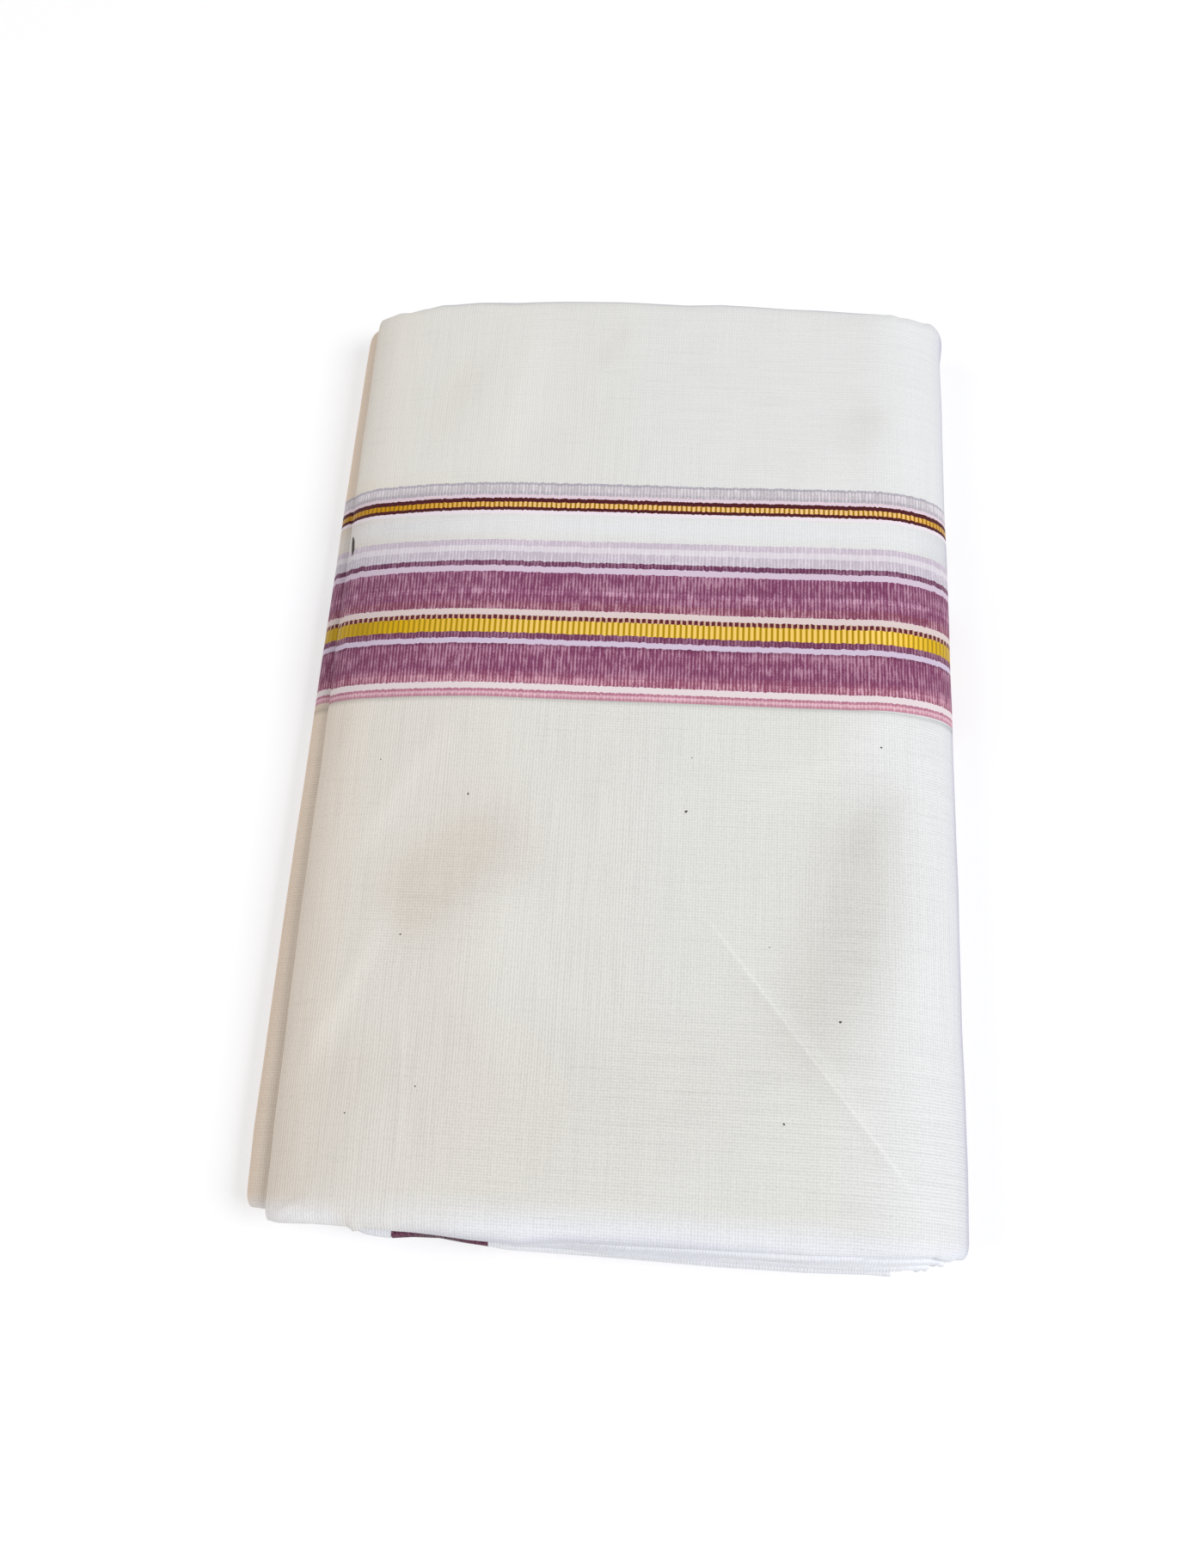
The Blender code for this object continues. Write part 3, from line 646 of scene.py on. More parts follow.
def surface_normals(points, outward):
    """Unit normals of a grid of points, turned to the side of the outward vectors."""
    across = np.gradient(points, axis=1)
    along = np.gradient(points, axis=0)
    normals = np.cross(across, along)
    normals /= np.maximum(np.linalg.norm(normals, axis=2, keepdims=True), 1e-12)
    flip = np.sign((normals * outward).sum(axis=2, keepdims=True))
    return normals * np.where(flip == 0, 1.0, flip)


def section_outward(x, z):
    """Unit vectors at the section's points that point out of the packet."""
    dx, dz = np.gradient(x, axis=1), np.gradient(z, axis=1)
    length = np.maximum(np.hypot(dx, dz), 1e-12)
    return -dz / length, dx / length


FLAP_ROLL_STEPS = 9
FLAP_TUCK_STEPS = 4
FLAP_ROWS = 96
FLAP_ROW_POWER = 1.15  # rows lie closer together at the edge
DEEPEST = 0.85 * MM  # a hollow may sink this far before it meets the layers inside
TOP_GAIN = 1.6  # how soon the creases reach their full rise as the cloth turns level
SIDE_FADE = 4.0 * MM  # height over which the waves on the sides set in
SIDE_WAVES = 0.5
ROLL_CALM = 0.6  # share of the roll's depth at which creases and waves have died out
ASKEW = 2.4 * MM  # how far the border runs off its line under the packet
ASKEW_STRETCH = (0.55, 0.8)


def flap_grid(side, seam, relief):
    """Points of one flap, a row for each step from its tucked edge to the seam.

    The edge is two quarter ellipses, the first tucked under. From there the rows run evenly to the
    seam. Creases and waves move the points out and in, fading where the cloth rests.
    """
    toward = 1.0 if side == "near" else -1.0
    end = STATIONS[0 if side == "near" else -1, 0]
    x0, _, roll, upper = outer_section(np.array([[end]]))
    edge = edge_of(side, x0, upper)
    tuck = np.radians(np.linspace(180.0, 90.0, FLAP_TUCK_STEPS + 1))[:-1, None]
    turn = np.radians(np.linspace(90.0, 0.0, FLAP_ROLL_STEPS + 1))[:-1, None]
    tuck_y = edge + toward * TUCK_RUN * (1.0 - np.sin(tuck))
    tuck_depth = roll * (ROLL_DEPTH - TUCK_DEPTH * np.cos(tuck))
    roll_y = edge + toward * ROLL_RUN * (1.0 - np.sin(turn))
    roll_depth = roll * ROLL_DEPTH * (1.0 - np.cos(turn))
    share = np.linspace(0.0, 1.0, FLAP_ROWS)[:, None] ** FLAP_ROW_POWER
    flat_y = edge + toward * ROLL_RUN
    flat_y = flat_y + (seam - flat_y) * share
    y = np.concatenate([tuck_y, roll_y, flat_y])
    depth = np.concatenate([tuck_depth, roll_depth, 0.0 * flat_y])
    x, z, _, _ = outer_section(y)
    out_x, out_z = section_outward(x, z)
    points = np.stack([x - depth * out_x, y, z - depth * out_z], axis=2)

    outward = np.stack([out_x, 0.0 * out_x, out_z], axis=2)
    normals = surface_normals(points, outward)
    on_top = np.clip(out_z * TOP_GAIN, 0.0, 1.0) * upper
    on_side = np.clip(1.0 - np.abs(out_z), 0.0, 1.0) * np.clip(z / SIDE_FADE, 0.0, 1.0)
    calm = 1.0 - np.clip(depth / (ROLL_DEPTH * ROLL_CALM), 0.0, 1.0)
    lift = on_top * (creases(x, y) + waves(x, y)) + SIDE_WAVES * on_side * waves(x + z, y)
    lift = np.maximum(relief * calm * lift, -DEEPEST)
    return points + lift[..., None] * normals, upper


def arc_lengths(points, axis):
    """Distance along a grid's lines from their start."""
    steps = np.linalg.norm(np.diff(points, axis=axis), axis=2)
    start = np.zeros_like(steps[:1] if axis == 0 else steps[:, :1])
    return np.concatenate([start, np.cumsum(steps, axis=axis)], axis=axis)


def grid_quads(rows, columns, around=False, flip=False):
    """Quads over a grid whose points are numbered row by row, closed round both ways if asked."""
    row = np.arange(rows if around else rows - 1)[:, None]
    col = np.arange(columns if around else columns - 1)[None]
    next_row, next_col = (row + 1) % rows, (col + 1) % columns
    corners = [row * columns + col, row * columns + next_col]
    corners += [next_row * columns + next_col, next_row * columns + col]
    quads = np.stack(corners, axis=2).reshape(-1, 4)
    return quads[:, ::-1] if flip else quads


def new_piece(name, points, quads, material, body="root", uv=None, shades=None):
    """A mesh object from arrays, with the cloth's own coordinates in a UV map."""
    mesh = bpy.data.meshes.new(name)
    mesh.from_pydata(points.reshape(-1, 3), [], quads.tolist())
    mesh.update()
    if uv is not None:
        corners = np.empty(len(mesh.loops), dtype=np.int32)
        mesh.loops.foreach_get("vertex_index", corners)
        layer = mesh.uv_layers.new(name="cloth")
        layer.data.foreach_set("uv", uv.reshape(-1, 2)[corners].ravel().astype(np.float32))
    for label, values in (shades or {}).items():
        attribute = mesh.attributes.new(label, "FLOAT", "POINT")
        attribute.data.foreach_set("value", values.ravel().astype(np.float32))
    mesh.shade_smooth()
    mesh.materials.append(material)
    obj = bpy.data.objects.new(name, mesh)
    bpy.context.scene.collection.objects.link(obj)
    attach(obj, body)
    return obj


def thicken(obj, thickness):
    """Gives a shell its wall, inwards from its outer face."""
    wall = obj.modifiers.new("cloth wall", "SOLIDIFY")
    wall.thickness = thickness
    wall.offset = -1.0
    wall.use_quality_normals = True


def linear(value):
    """Linear colour of an sRGB hex value."""
    channels = np.array([int(value[i : i + 2], 16) / 255 for i in (1, 3, 5)])
    low, high = channels / 12.92, ((channels + 0.055) / 1.055) ** 2.4
    return (*np.where(channels <= 0.04045, low, high).tolist(), 1.0)


def add_node(tree, kind, inputs=(), output=0, **settings):
    """One node with its settings.

    inputs is a row of values and links in the order of the sockets, or pairs a socket's name or
    number with one.
    """
    node = tree.nodes.new("ShaderNode" + kind)
    for name, value in settings.items():
        setattr(node, name, value)
    pairs = inputs.items() if isinstance(inputs, dict) else enumerate(inputs)
    for socket, value in pairs:
        if isinstance(value, bpy.types.NodeSocket):
            tree.links.new(value, node.inputs[socket])
        else:
            node.inputs[socket].default_value = value
    return node.outputs[output]


def cloth_material(name, roughness):
    """An empty cloth material: its tree, its shader and the cloth's two coordinates in metres."""
    material = bpy.data.materials.new(name)
    material.use_nodes = True
    tree = material.node_tree
    shader = tree.nodes["Principled BSDF"]
    shader.inputs["Roughness"].default_value = roughness
    shader.inputs["IOR"].default_value = 1.45
    shader.inputs["Specular IOR Level"].default_value = 0.25
    shader.inputs["Sheen Weight"].default_value = 0.12
    shader.inputs["Sheen Roughness"].default_value = 0.5
    place = add_node(tree, "UVMap", uv_map="cloth")
    u, v, _ = add_node(tree, "SeparateXYZ", (place,)).node.outputs
    return material, tree, shader, u, v


def streaks(tree, u, v, scales, detail=1.0):
    """Noise drawn out along one way of the cloth, in cycles a metre along each coordinate."""
    along_u = add_node(tree, "Math", (u, scales[0]), operation="MULTIPLY")
    along_v = add_node(tree, "Math", (v, scales[1]), operation="MULTIPLY")
    place = add_node(tree, "CombineXYZ", (along_u, along_v))
    settings = {"Vector": place, "Scale": 1.0, "Detail": detail, "Roughness": 0.5}
    return add_node(tree, "TexNoise", settings, noise_dimensions="2D")


def weave(tree, u, v):
    """Plain weave of handloom yarn as a height from 0 to 1.

    Even threads both ways, each a sine wave whose phase wanders a little, over yarn of uneven
    thickness. How much of the warp shows changes slowly over the cloth, and from left to right.
    """
    rows = []
    for across, along, drift in ((u, v, THREAD_DRIFT), (v, u, THREAD_DRIFT[::-1])):
        wander = streaks(tree, u, v, drift)
        phase = add_node(tree, "Math", (across, 2 * np.pi / WEAVE_PITCH), operation="MULTIPLY")
        phase = add_node(tree, "Math", (wander, THREAD_WANDER, phase), operation="MULTIPLY_ADD")
        ridge = add_node(tree, "Math", (phase,), operation="SINE")
        yarn = streaks(tree, across, along, YARN)
        yarn = add_node(tree, "Math", (yarn, YARN_SHARE), operation="MULTIPLY")
        rows.append(add_node(tree, "Math", (ridge, THREAD_SHARE, yarn), operation="MULTIPLY_ADD"))
    patches = streaks(tree, u, v, WARP_PATCHES)
    more_warp = add_node(tree, "MapRange", (patches, *WARP_RANGE))
    to_the_left = add_node(tree, "MapRange", (u, *WARP_ACROSS))
    more_warp = add_node(tree, "Math", (more_warp, to_the_left), operation="ADD")
    threads = add_node(tree, "Mix", {0: more_warp, 2: rows[1], 3: rows[0]})
    return add_node(tree, "Mix", {0: FIBRE_SHARE, 2: threads, 3: streaks(tree, u, v, FIBRES)})


def cream_colour(tree, u, v, threads, cotton, contrast=1.0):
    """Unbleached cotton: cream, uneven thread by thread.

    Painted shade and light tint it: it is warmer, cooler, lilac or darker where the attributes
    for it say.
    """
    base = linear(cotton.cream)
    # Painted shade (warm), painted light (cool, with the pale strip) and painted lilac shade, by
    # attribute.
    for name, tone in (("shade", cotton.shadow), ("cool", cotton.cool), ("lilac", cotton.lilac)):
        share = add_node(tree, "Attribute", output=2, attribute_name=name)
        base = add_node(tree, "Mix", {0: share, 6: base, 7: linear(tone)}, **OF_COLOURS)
    slub = add_node(tree, "MapRange", (streaks(tree, u, v, SLUBS), *SLUB_RANGE))
    dip, peak = CREAM_VALUE - THREAD_DIP * contrast, CREAM_VALUE + THREAD_PEAK * contrast
    value = add_node(tree, "MapRange", (threads, *THREAD_RANGE, dip, peak))
    value = add_node(tree, "Math", (value, slub), operation="ADD")
    # Painted shade from the dark attribute; where it is below zero it is painted light.
    dark = add_node(tree, "Attribute", output=2, attribute_name="dark")
    value = add_node(tree, "Math", (dark, -PAINTED_SHADE_STRENGTH, value), operation="MULTIPLY_ADD")
    return add_node(tree, "HueSaturation", {"Value": value, "Color": base})


def finish_cloth(tree, shader, colour, threads, depth):
    """Joins a cloth's colour and the height of its threads to its shader."""
    bump = add_node(tree, "Bump", {"Strength": 0.5, "Distance": depth, "Height": threads})
    tree.links.new(colour, shader.inputs["Base Color"])
    tree.links.new(bump, shader.inputs["Normal"])


def plain_cotton(cotton):
    """Handloom cotton, unbleached and starched: matt, cream, with uneven threads both ways."""
    material, tree, shader, u, v = cloth_material("handloom cotton", PLAIN_ROUGHNESS)
    threads = weave(tree, u, v)
    finish_cloth(tree, shader, cream_colour(tree, u, v, threads, cotton), threads, PLAIN_DEPTH)
    return material


def creased_cotton(cotton):
    """The same cotton with a sharp ironed crease, too fine for the mesh.

    A pale line of painted highlight lies on a straight run across the flap, with a darker line of
    painted shade along its left.
    """
    material = plain_cotton(cotton)
    material.name = "creased handloom cotton"
    tree = material.node_tree
    shader = tree.nodes["Principled BSDF"]
    x, y, angle, length = CREASES[0, :4]
    turn = np.radians(angle)
    place = add_node(tree, "TexCoord", output=3)
    middle = (x * MM, y * MM, 0.0)
    off = add_node(tree, "VectorMath", (place, middle), operation="SUBTRACT")
    across, along = (
        add_node(tree, "VectorMath", (off, way), output=1, operation="DOT_PRODUCT")
        for way in ((-np.sin(turn), np.cos(turn), 0.0), (np.cos(turn), np.sin(turn), 0.0))
    )
    along = add_node(tree, "Math", (along,), operation="ABSOLUTE")
    start, end = (share * length * MM for share in LINE_FADE)
    fade = add_node(tree, "MapRange", (along, start, end, 1.0, 0.0))
    colour = shader.inputs["Base Color"].links[0].from_socket
    # Painted highlight on the crease, and painted shade beside it.
    for beside, width, change in CREASE_HIGHLIGHT_AND_SHADE:
        off = add_node(tree, "Math", (across, beside), operation="SUBTRACT")
        off = add_node(tree, "Math", (off,), operation="ABSOLUTE")
        soft = {"interpolation_type": "SMOOTHSTEP"}
        line = add_node(tree, "MapRange", (off, 0.0, width, change, 0.0), **soft)
        line = add_node(tree, "Math", (line, fade, 1.0), operation="MULTIPLY_ADD")
        colour = add_node(tree, "HueSaturation", {"Value": line, "Color": colour})
    tree.links.new(colour, shader.inputs["Base Color"])
    return material


def border_ramp(tree, place, colours):
    """A colour ramp with one hard-edged stop for each stripe of the border."""
    output = add_node(tree, "ValToRGB", (place,))
    ramp = output.node.color_ramp
    ramp.interpolation = "CONSTANT"
    ramp.elements[0].position = 0.0
    ramp.elements[0].color = colours[0]
    ramp.elements.remove(ramp.elements[1])
    for row, colour in list(zip(BORDER, colours))[1:]:
        ramp.elements.new(row[0] / BORDER_WIDTH).color = colour
    return output


def bordered_cotton(cotton):
    """The same cotton with its woven border: dyed purple yarn, white cords and gold zari."""
    material, tree, shader, u, v = cloth_material("cotton with woven border", BORDER_ROUGHNESS)
    threads = weave(tree, u, v)
    cream = cream_colour(tree, u, v, threads, cotton, contrast=BORDER_CONTRAST)
    # The painted shade of the flaps; painted light where it is below zero.
    dark = add_node(tree, "Attribute", output=2, attribute_name="dark")

    # The stripes, whose edges step in and out thread by thread.
    edge = streaks(tree, u, v, STRIPE_EDGE)
    edge = add_node(tree, "MapRange", (edge, 0.0, 1.0, -STRIPE_STEP, STRIPE_STEP))
    place = add_node(tree, "Math", (v, edge), operation="ADD")
    place = add_node(tree, "Math", (place, 1.0 / (BORDER_WIDTH * MM)), operation="MULTIPLY")
    stripes = border_ramp(tree, place, [linear(row[1] or "#FFFFFF") for row in BORDER])
    kinds = [(row[2], row[3], 0.0 if row[1] is None else 1.0, row[4]) for row in BORDER]
    kind = border_ramp(tree, place, kinds)
    gold, ribbed, dyed = add_node(tree, "SeparateColor", (kind,)).node.outputs
    dashed = kind.node.outputs["Alpha"]
    inside = add_node(tree, "Math", (v, 0.0), operation="GREATER_THAN")
    dyed = add_node(tree, "Math", (dyed, inside), operation="MULTIPLY")

    # Dyed yarn with pale threads between: a comb of soft columns, uneven from one to the next.
    comb = add_node(tree, "Math", (u, 2 * np.pi / PURPLE_PITCH), operation="MULTIPLY")
    comb = add_node(tree, "Math", (comb,), operation="SINE")
    ribs = streaks(tree, u, v, PURPLE_RIBS)
    comb = add_node(tree, "Math", (comb, COMB_SHARE, ribs), operation="MULTIPLY_ADD")
    for scales in (DYE_PATCHES, TWIST):
        uneven = streaks(tree, u, v, scales)
        comb = add_node(tree, "Math", (uneven, UNEVEN_SHARE, comb), operation="MULTIPLY_ADD")
    comb = add_node(tree, "MapRange", (comb, *COMB_RANGE))
    paleness = add_node(tree, "Math", (comb, ribbed), operation="MULTIPLY")
    pale = add_node(tree, "HueSaturation", {**PALE_YARN, "Color": stripes})
    yarn = add_node(tree, "Mix", {0: paleness, 6: stripes, 7: pale}, **OF_COLOURS)

    # Dashes: maroon and pale yarn by turns beside the gold.
    dash = add_node(tree, "Math", (u, 2 * np.pi / DASH_PITCH), operation="MULTIPLY")
    dash = add_node(tree, "Math", (dash,), operation="SINE")
    dash = add_node(tree, "Math", (dash, DASH_LEVEL), operation="GREATER_THAN")
    dash = add_node(tree, "Math", (dash, dashed), operation="MULTIPLY")
    yarn = add_node(tree, "Mix", {0: dash, 6: yarn, 7: linear(PALE_DASH)}, **OF_COLOURS)

    # Zari: flat gold thread in ribs across the stripe, as beads in the thin one. Painted shade
    # makes it rich and dark between the ribs and a painted highlight pale on them, and it is duller
    # in the painted shade of the flaps.
    beaded = add_node(tree, "Math", (gold, BEADED), operation="GREATER_THAN")
    wide, thin = 2 * np.pi / GOLD_PITCH, 2 * np.pi / BEAD_PITCH
    turns = add_node(tree, "Mix", {0: beaded, 2: wide, 3: thin})
    rib = add_node(tree, "Math", (u, turns), operation="MULTIPLY")
    rib = add_node(tree, "Math", (rib,), operation="SINE")
    rib = add_node(tree, "MapRange", (rib, *RIB_RANGE))
    value = add_node(tree, "MapRange", (rib, 0.0, 1.0, *GOLD_RIB_SHADE_AND_HIGHLIGHT))
    gold_shade = add_node(tree, "Math", (dark, GOLD_SHADE_SHARE), operation="MULTIPLY")
    value = add_node(tree, "Mix", {0: gold_shade, 2: value, 3: GOLD_IN_SHADE})
    value = add_node(tree, "Mix", {0: gold, 2: 1.0, 3: value})
    value = add_node(tree, "Math", (dark, -PAINTED_SHADE_STRENGTH, value), operation="MULTIPLY_ADD")
    rich = add_node(tree, "MapRange", (rib, 0.0, 1.0, *GOLD_RICHNESS))
    rich = add_node(tree, "Math", (dark, GOLD_RICHER_IN_SHADE, rich), operation="MULTIPLY_ADD")
    rich = add_node(tree, "Mix", {0: gold, 2: 1.0, 3: rich})
    woven = add_node(tree, "HueSaturation", {"Saturation": rich, "Value": value, "Color": yarn})

    colour = add_node(tree, "Mix", {0: dyed, 6: cream, 7: woven}, **OF_COLOURS)
    relief = add_node(tree, "Mix", {0: ribbed, 2: threads, 3: comb})
    relief = add_node(tree, "Mix", {0: gold, 2: relief, 3: rib})
    finish_cloth(tree, shader, colour, relief, BORDER_DEPTH)
    metallic = add_node(tree, "Math", (gold, GOLD_METALLIC), operation="MULTIPLY")
    tree.links.new(metallic, shader.inputs["Metallic"])
    rough = add_node(tree, "Mix", {0: gold, 2: BORDER_ROUGHNESS, 3: GOLD_ROUGHNESS})
    tree.links.new(rough, shader.inputs["Roughness"])
    return material


def cross_banded_cotton(cotton):
    """Cotton with the cross band at the cloth's end: purple yarn across it, mottled.

    The band is greyer in its middle.
    """
    material, tree, shader, u, v = cloth_material("cotton with cross band", PLAIN_ROUGHNESS)
    threads = weave(tree, u, v)
    cream = cream_colour(tree, u, v, threads, cotton)
    off = add_node(tree, "Math", (u, float(CROSS_BAND.mean())), operation="SUBTRACT")
    off = add_node(tree, "Math", (off,), operation="ABSOLUTE")
    half = float(CROSS_BAND[1] - CROSS_BAND[0]) / 2
    band = add_node(tree, "Math", (off, half), operation="LESS_THAN")
    mottled = streaks(tree, u, v, MOTTLE, 2.0)
    value = add_node(tree, "MapRange", (mottled, *MOTTLE_RANGE))
    rich = add_node(tree, "MapRange", (off, *BAND_RICHNESS))
    settings = {"Saturation": rich, "Value": value, "Color": linear(BAND_COLOUR)}
    purple = add_node(tree, "HueSaturation", settings)
    colour = add_node(tree, "Mix", {0: band, 6: cream, 7: purple}, **OF_COLOURS)
    finish_cloth(tree, shader, colour, threads, BAND_DEPTH)
    return material


def seed_husk():
    """A crumb of cotton seed husk caught in the yarn: matt dark brown."""
    material = bpy.data.materials.new("seed husk")
    material.use_nodes = True
    tree = material.node_tree
    shader = tree.nodes["Principled BSDF"]
    place = add_node(tree, "TexCoord", output=3)
    grain = add_node(tree, "TexNoise", {"Vector": place, "Scale": HUSK_GRAIN})
    dark, pale = (linear(colour) for colour in HUSK_COLOURS)
    colour = add_node(tree, "Mix", {0: grain, 6: dark, 7: pale}, **OF_COLOURS)
    tree.links.new(colour, shader.inputs["Base Color"])
    shader.inputs["Roughness"].default_value = 0.8
    return material


def tint(name, at):
    """A tint's strength at places, read from its table."""
    return np.interp(at, *TINTS[name])


def flap_shades(points, upper):
    """Painted shade and light: where the cotton looks warmer, cooler, darker or lilac.

    Painted shade, warm and dark, in the hollows and to the left; painted light, cool, at the near
    and right edges; painted lilac shade round the right fold and in thin lines along the far and
    near edges.
    """
    x, y, z = points[..., 0] / MM, points[..., 1] / MM, points[..., 2] / MM
    far = tint("far side", y)
    rise = creases(points[..., 0], points[..., 1]) / MM
    hollow, ridge = tint("hollow", rise), tint("ridge", rise)
    fall = height(points[..., 0], points[..., 1]) / MM - z

    # Painted shade: warm to the left, less so on the far side, in the hollows and low down.
    warm = tint("painted shade left", x) * (1.0 - far * tint("less painted shade far", x))
    warm = warm + tint("warm painted shade in hollows", x) * hollow * upper + tint("painted shade below", z)

    middle, half, strength = PALE_STRIP
    pale_strip = strength * np.exp(-(((y - middle) / half) ** 2))
    # Painted light: cool at the near edge, the right, over the far flap and at the lower nose's
    # near end. The paler strip by the border is mixed in too.
    corner = tint("corner from near", y) * tint("corner from left", x) * tint("above floor", z)
    cool = tint("cool near", y) * tint("cool near across", x)
    cool = np.maximum(cool, tint("painted light right", x) * (1.0 - HOLLOW_TAKES_LIGHT * hollow))
    cool = np.maximum(cool, np.where(y < SEAM / MM, 0.0, tint("painted light far flap", x)))
    cool = np.maximum(cool, pale_strip) * upper

    # Painted shade in the hollows and at the border's ends; painted light on the ridges, the far
    # left and the lower nose's near end.
    dark = (tint("dark painted shade in hollows", x) * hollow - RIDGE_LIGHT * ridge) * upper
    on_border = (y > BORDER_NEAR) & (y < BORDER_FAR) & (z > 1.0)
    dark = dark + tint("painted shade on border", x) * on_border
    dark = dark - far * tint("painted light far left", x) * upper - CORNER_LIGHT * corner

    # Painted lilac shade round the right fold and in thin lines along the far and near edges.
    far_line = tint("far line down", fall) * (y > LINE_FROM) * (fall < LINE_DEPTH)
    near_line = tint("near line down", fall) * (y < -LINE_FROM) * upper
    lilac = np.maximum(tint("painted shade on right fold", x), far_line * tint("far line", x))
    lilac = np.maximum(lilac, near_line * tint("near line", x))
    return {
        "shade": np.clip(warm, 0.0, 1.0),
        "cool": np.clip(np.maximum.reduce([cool, corner, STRIP_BELOW * pale_strip]), 0.0, 1.0),
        "dark": dark,
        "lilac": np.clip(lilac, 0.0, 1.0),
    }


def make_flap(side, name, material, cotton, node):
    """One half of the outer strip, a thin shell from its rolled edge to the seam."""
    seam = SEAM + (-SEAM_GAP if side == "near" else SEAM_GAP) / 2
    points, upper = flap_grid(side, seam, cotton.relief)
    rows, columns = points.shape[:2]
    along = arc_lengths(points, 1)
    middle = along[rows - 1]
    from_edge = arc_lengths(points, 0)
    from_seam = from_edge[-1:] - from_edge
    askew = np.interp(np.arange(columns) / columns, ASKEW_STRETCH, (0.0, ASKEW))
    uv = np.stack([np.broadcast_to(middle, (rows, columns)), from_seam - askew], axis=2)
    quads = grid_quads(rows, columns, flip=side == "far")
    flap = new_piece(name, points, quads, material, uv=uv, shades=flap_shades(points, upper))
    thicken(flap, cotton.shell)
    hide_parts(node)


def stack_place(x, y, z):
    """A point's place in the stack: 0 at the underside, 1 at the slit, 2 at the top."""
    middle = split(x)
    above = 1.0 + (z - middle) / (height(x, y) - middle)
    return np.where(z > middle, above, z / middle)


def reach(side, stack, x, seed):
    """How far a layer stands out past the flap's edge: a table over the stack and across."""
    levels = REACH[:, 0]
    if side == "near":
        by_place = [np.interp(stack, levels, column) for column in REACH[:, 1:-1].T]
        out = by_place[0]
        for i in range(1, len(REACH_PLACES)):
            share = (x - REACH_PLACES[i - 1]) / (REACH_PLACES[i] - REACH_PLACES[i - 1])
            out = out + (by_place[i] - by_place[i - 1]) * np.clip(share, 0.0, 1.0)
    else:
        out = np.interp(stack, levels, REACH[:, -1])
    for rise, wave, phase in UNEVEN_ENDS:
        out = out + rise * np.sin(x / (wave * MM) + phase * seed)
    return MM * out


# The stretches of a loop's path: what it does, its bundle, whether it is the loop's outer pass, and
# its steps.
LOOP_STRETCHES = (
    ("run to the right", "upper", True, 70),
    ("right turn", "both", True, 30),
    ("run to the left", "lower", True, 50),
    ("left turn", "lower", True, 16),
    ("run to the right", "lower", False, 70),
    ("right turn", "both", False, 14),
    ("run to the left", "upper", False, 70),
    ("left turn", "upper", True, 16),
)
TURN_SPREAD = 1.42  # how much more the turns inside the round fold spread across than in height
TURN_AIR = 1.2 * MM
LEFT_SPREAD = 1.15
LEFT_RUN = 0.8  # share of the outer noses' run that the outermost turn at the left takes
INNERMOST_OPEN = 0.6
FIRST_TIP = 0.4
RIGHT_TURN_BELOW = (0.55, 0.9)  # part of a right turn over which its layer joins the lower bundle

# Unevenness of the layers' ends: rise and wavelength in millimetres, and its phase by layer.
UNEVEN_ENDS = ((0.15, 19.0, 2.3), (0.1, 7.3, 5.1))


def core_bounds(x, y):
    """Heights between which each bundle's inner layers lie: lower from, to, upper from, to."""
    closing = np.clip((SLIT_CLOSED - x) / (SLIT_CLOSED - SLIT_END), 0.0, 1.0)
    slot = (SLIT_GAP / 2 + INSET) * closing
    return INSET, split(x) - slot, split(x) + slot, height(x, y) - INSET


def layer_height(bundle, share, x, y):
    low0, low1, high0, high1 = core_bounds(x, y)
    if bundle == "upper":
        return high0 + share * (high1 - high0)
    return low0 + share * (low1 - low0)


def right_turn(place, t, y):
    """The turn of the layer at this place from the outside, 0 to 1, from top to bottom.

    Two quarter ellipses, each smaller and further left than the one outside it.
    """
    top = station("height", y)
    depth = INSET + place * (MIDDLE_SPLIT - INSET)
    tip_x = station("right_fold", y) - depth * TURN_SPREAD
    tip_z = FOLD_HEIGHT + (MIDDLE_SPLIT - FOLD_HEIGHT) * place
    run_above = FOLD_ABOVE * (1.0 - place) + TURN_AIR
    run_below = FOLD_BELOW * (1.0 - place) + TURN_AIR
    top_z = MIDDLE_SPLIT + (1.0 - place) * (top - INSET - MIDDLE_SPLIT)
    bottom_z = INSET + place * (MIDDLE_SPLIT - INSET)
    angle = t * np.pi
    rise, run = np.sin(angle), np.cos(angle)
    above = run > 0
    x = tip_x - np.where(above, run_above, run_below) * (1.0 - rise)
    z = tip_z + np.where(above, (top_z - tip_z) * run, (tip_z - bottom_z) * run)
    return x, z


def left_turn(bundle, loop, t, y):
    """The turn at a bundle's left, from its slit side to its outside: two quarter ellipses."""
    inner, outer = (loop + 0.5) / LAYERS_IN_BUNDLE, 1.0 - (loop + 0.5) / LAYERS_IN_BUNDLE
    if bundle == "upper":
        tip = station("upper_nose", y) + INSET + NOSE_SLACK
        tip_share, below, above = UPPER_TIP, UPPER_NOSE_BELOW, UPPER_NOSE_ABOVE
    else:
        tip = station("lower_nose", y) + INSET
        tip_share, below, above = LOWER_TIP, LOWER_NOSE_BELOW, LOWER_NOSE_ABOVE
    shrink = LEFT_RUN * (1.0 - loop / (LOOPS + INNERMOST_OPEN))
    tip = tip + (loop + FIRST_TIP) * LEFT_SPREAD * MM
    angle = (t - 0.5) * np.pi
    up, back = np.sin(angle), np.cos(angle)
    x = tip + np.where(up > 0, above, below) * shrink * (1.0 - back)
    middle = inner + (outer - inner) * tip_share
    share = np.where(up > 0, middle + (outer - middle) * up, middle + (middle - inner) * up)
    return x, layer_height(bundle, share, x, y)


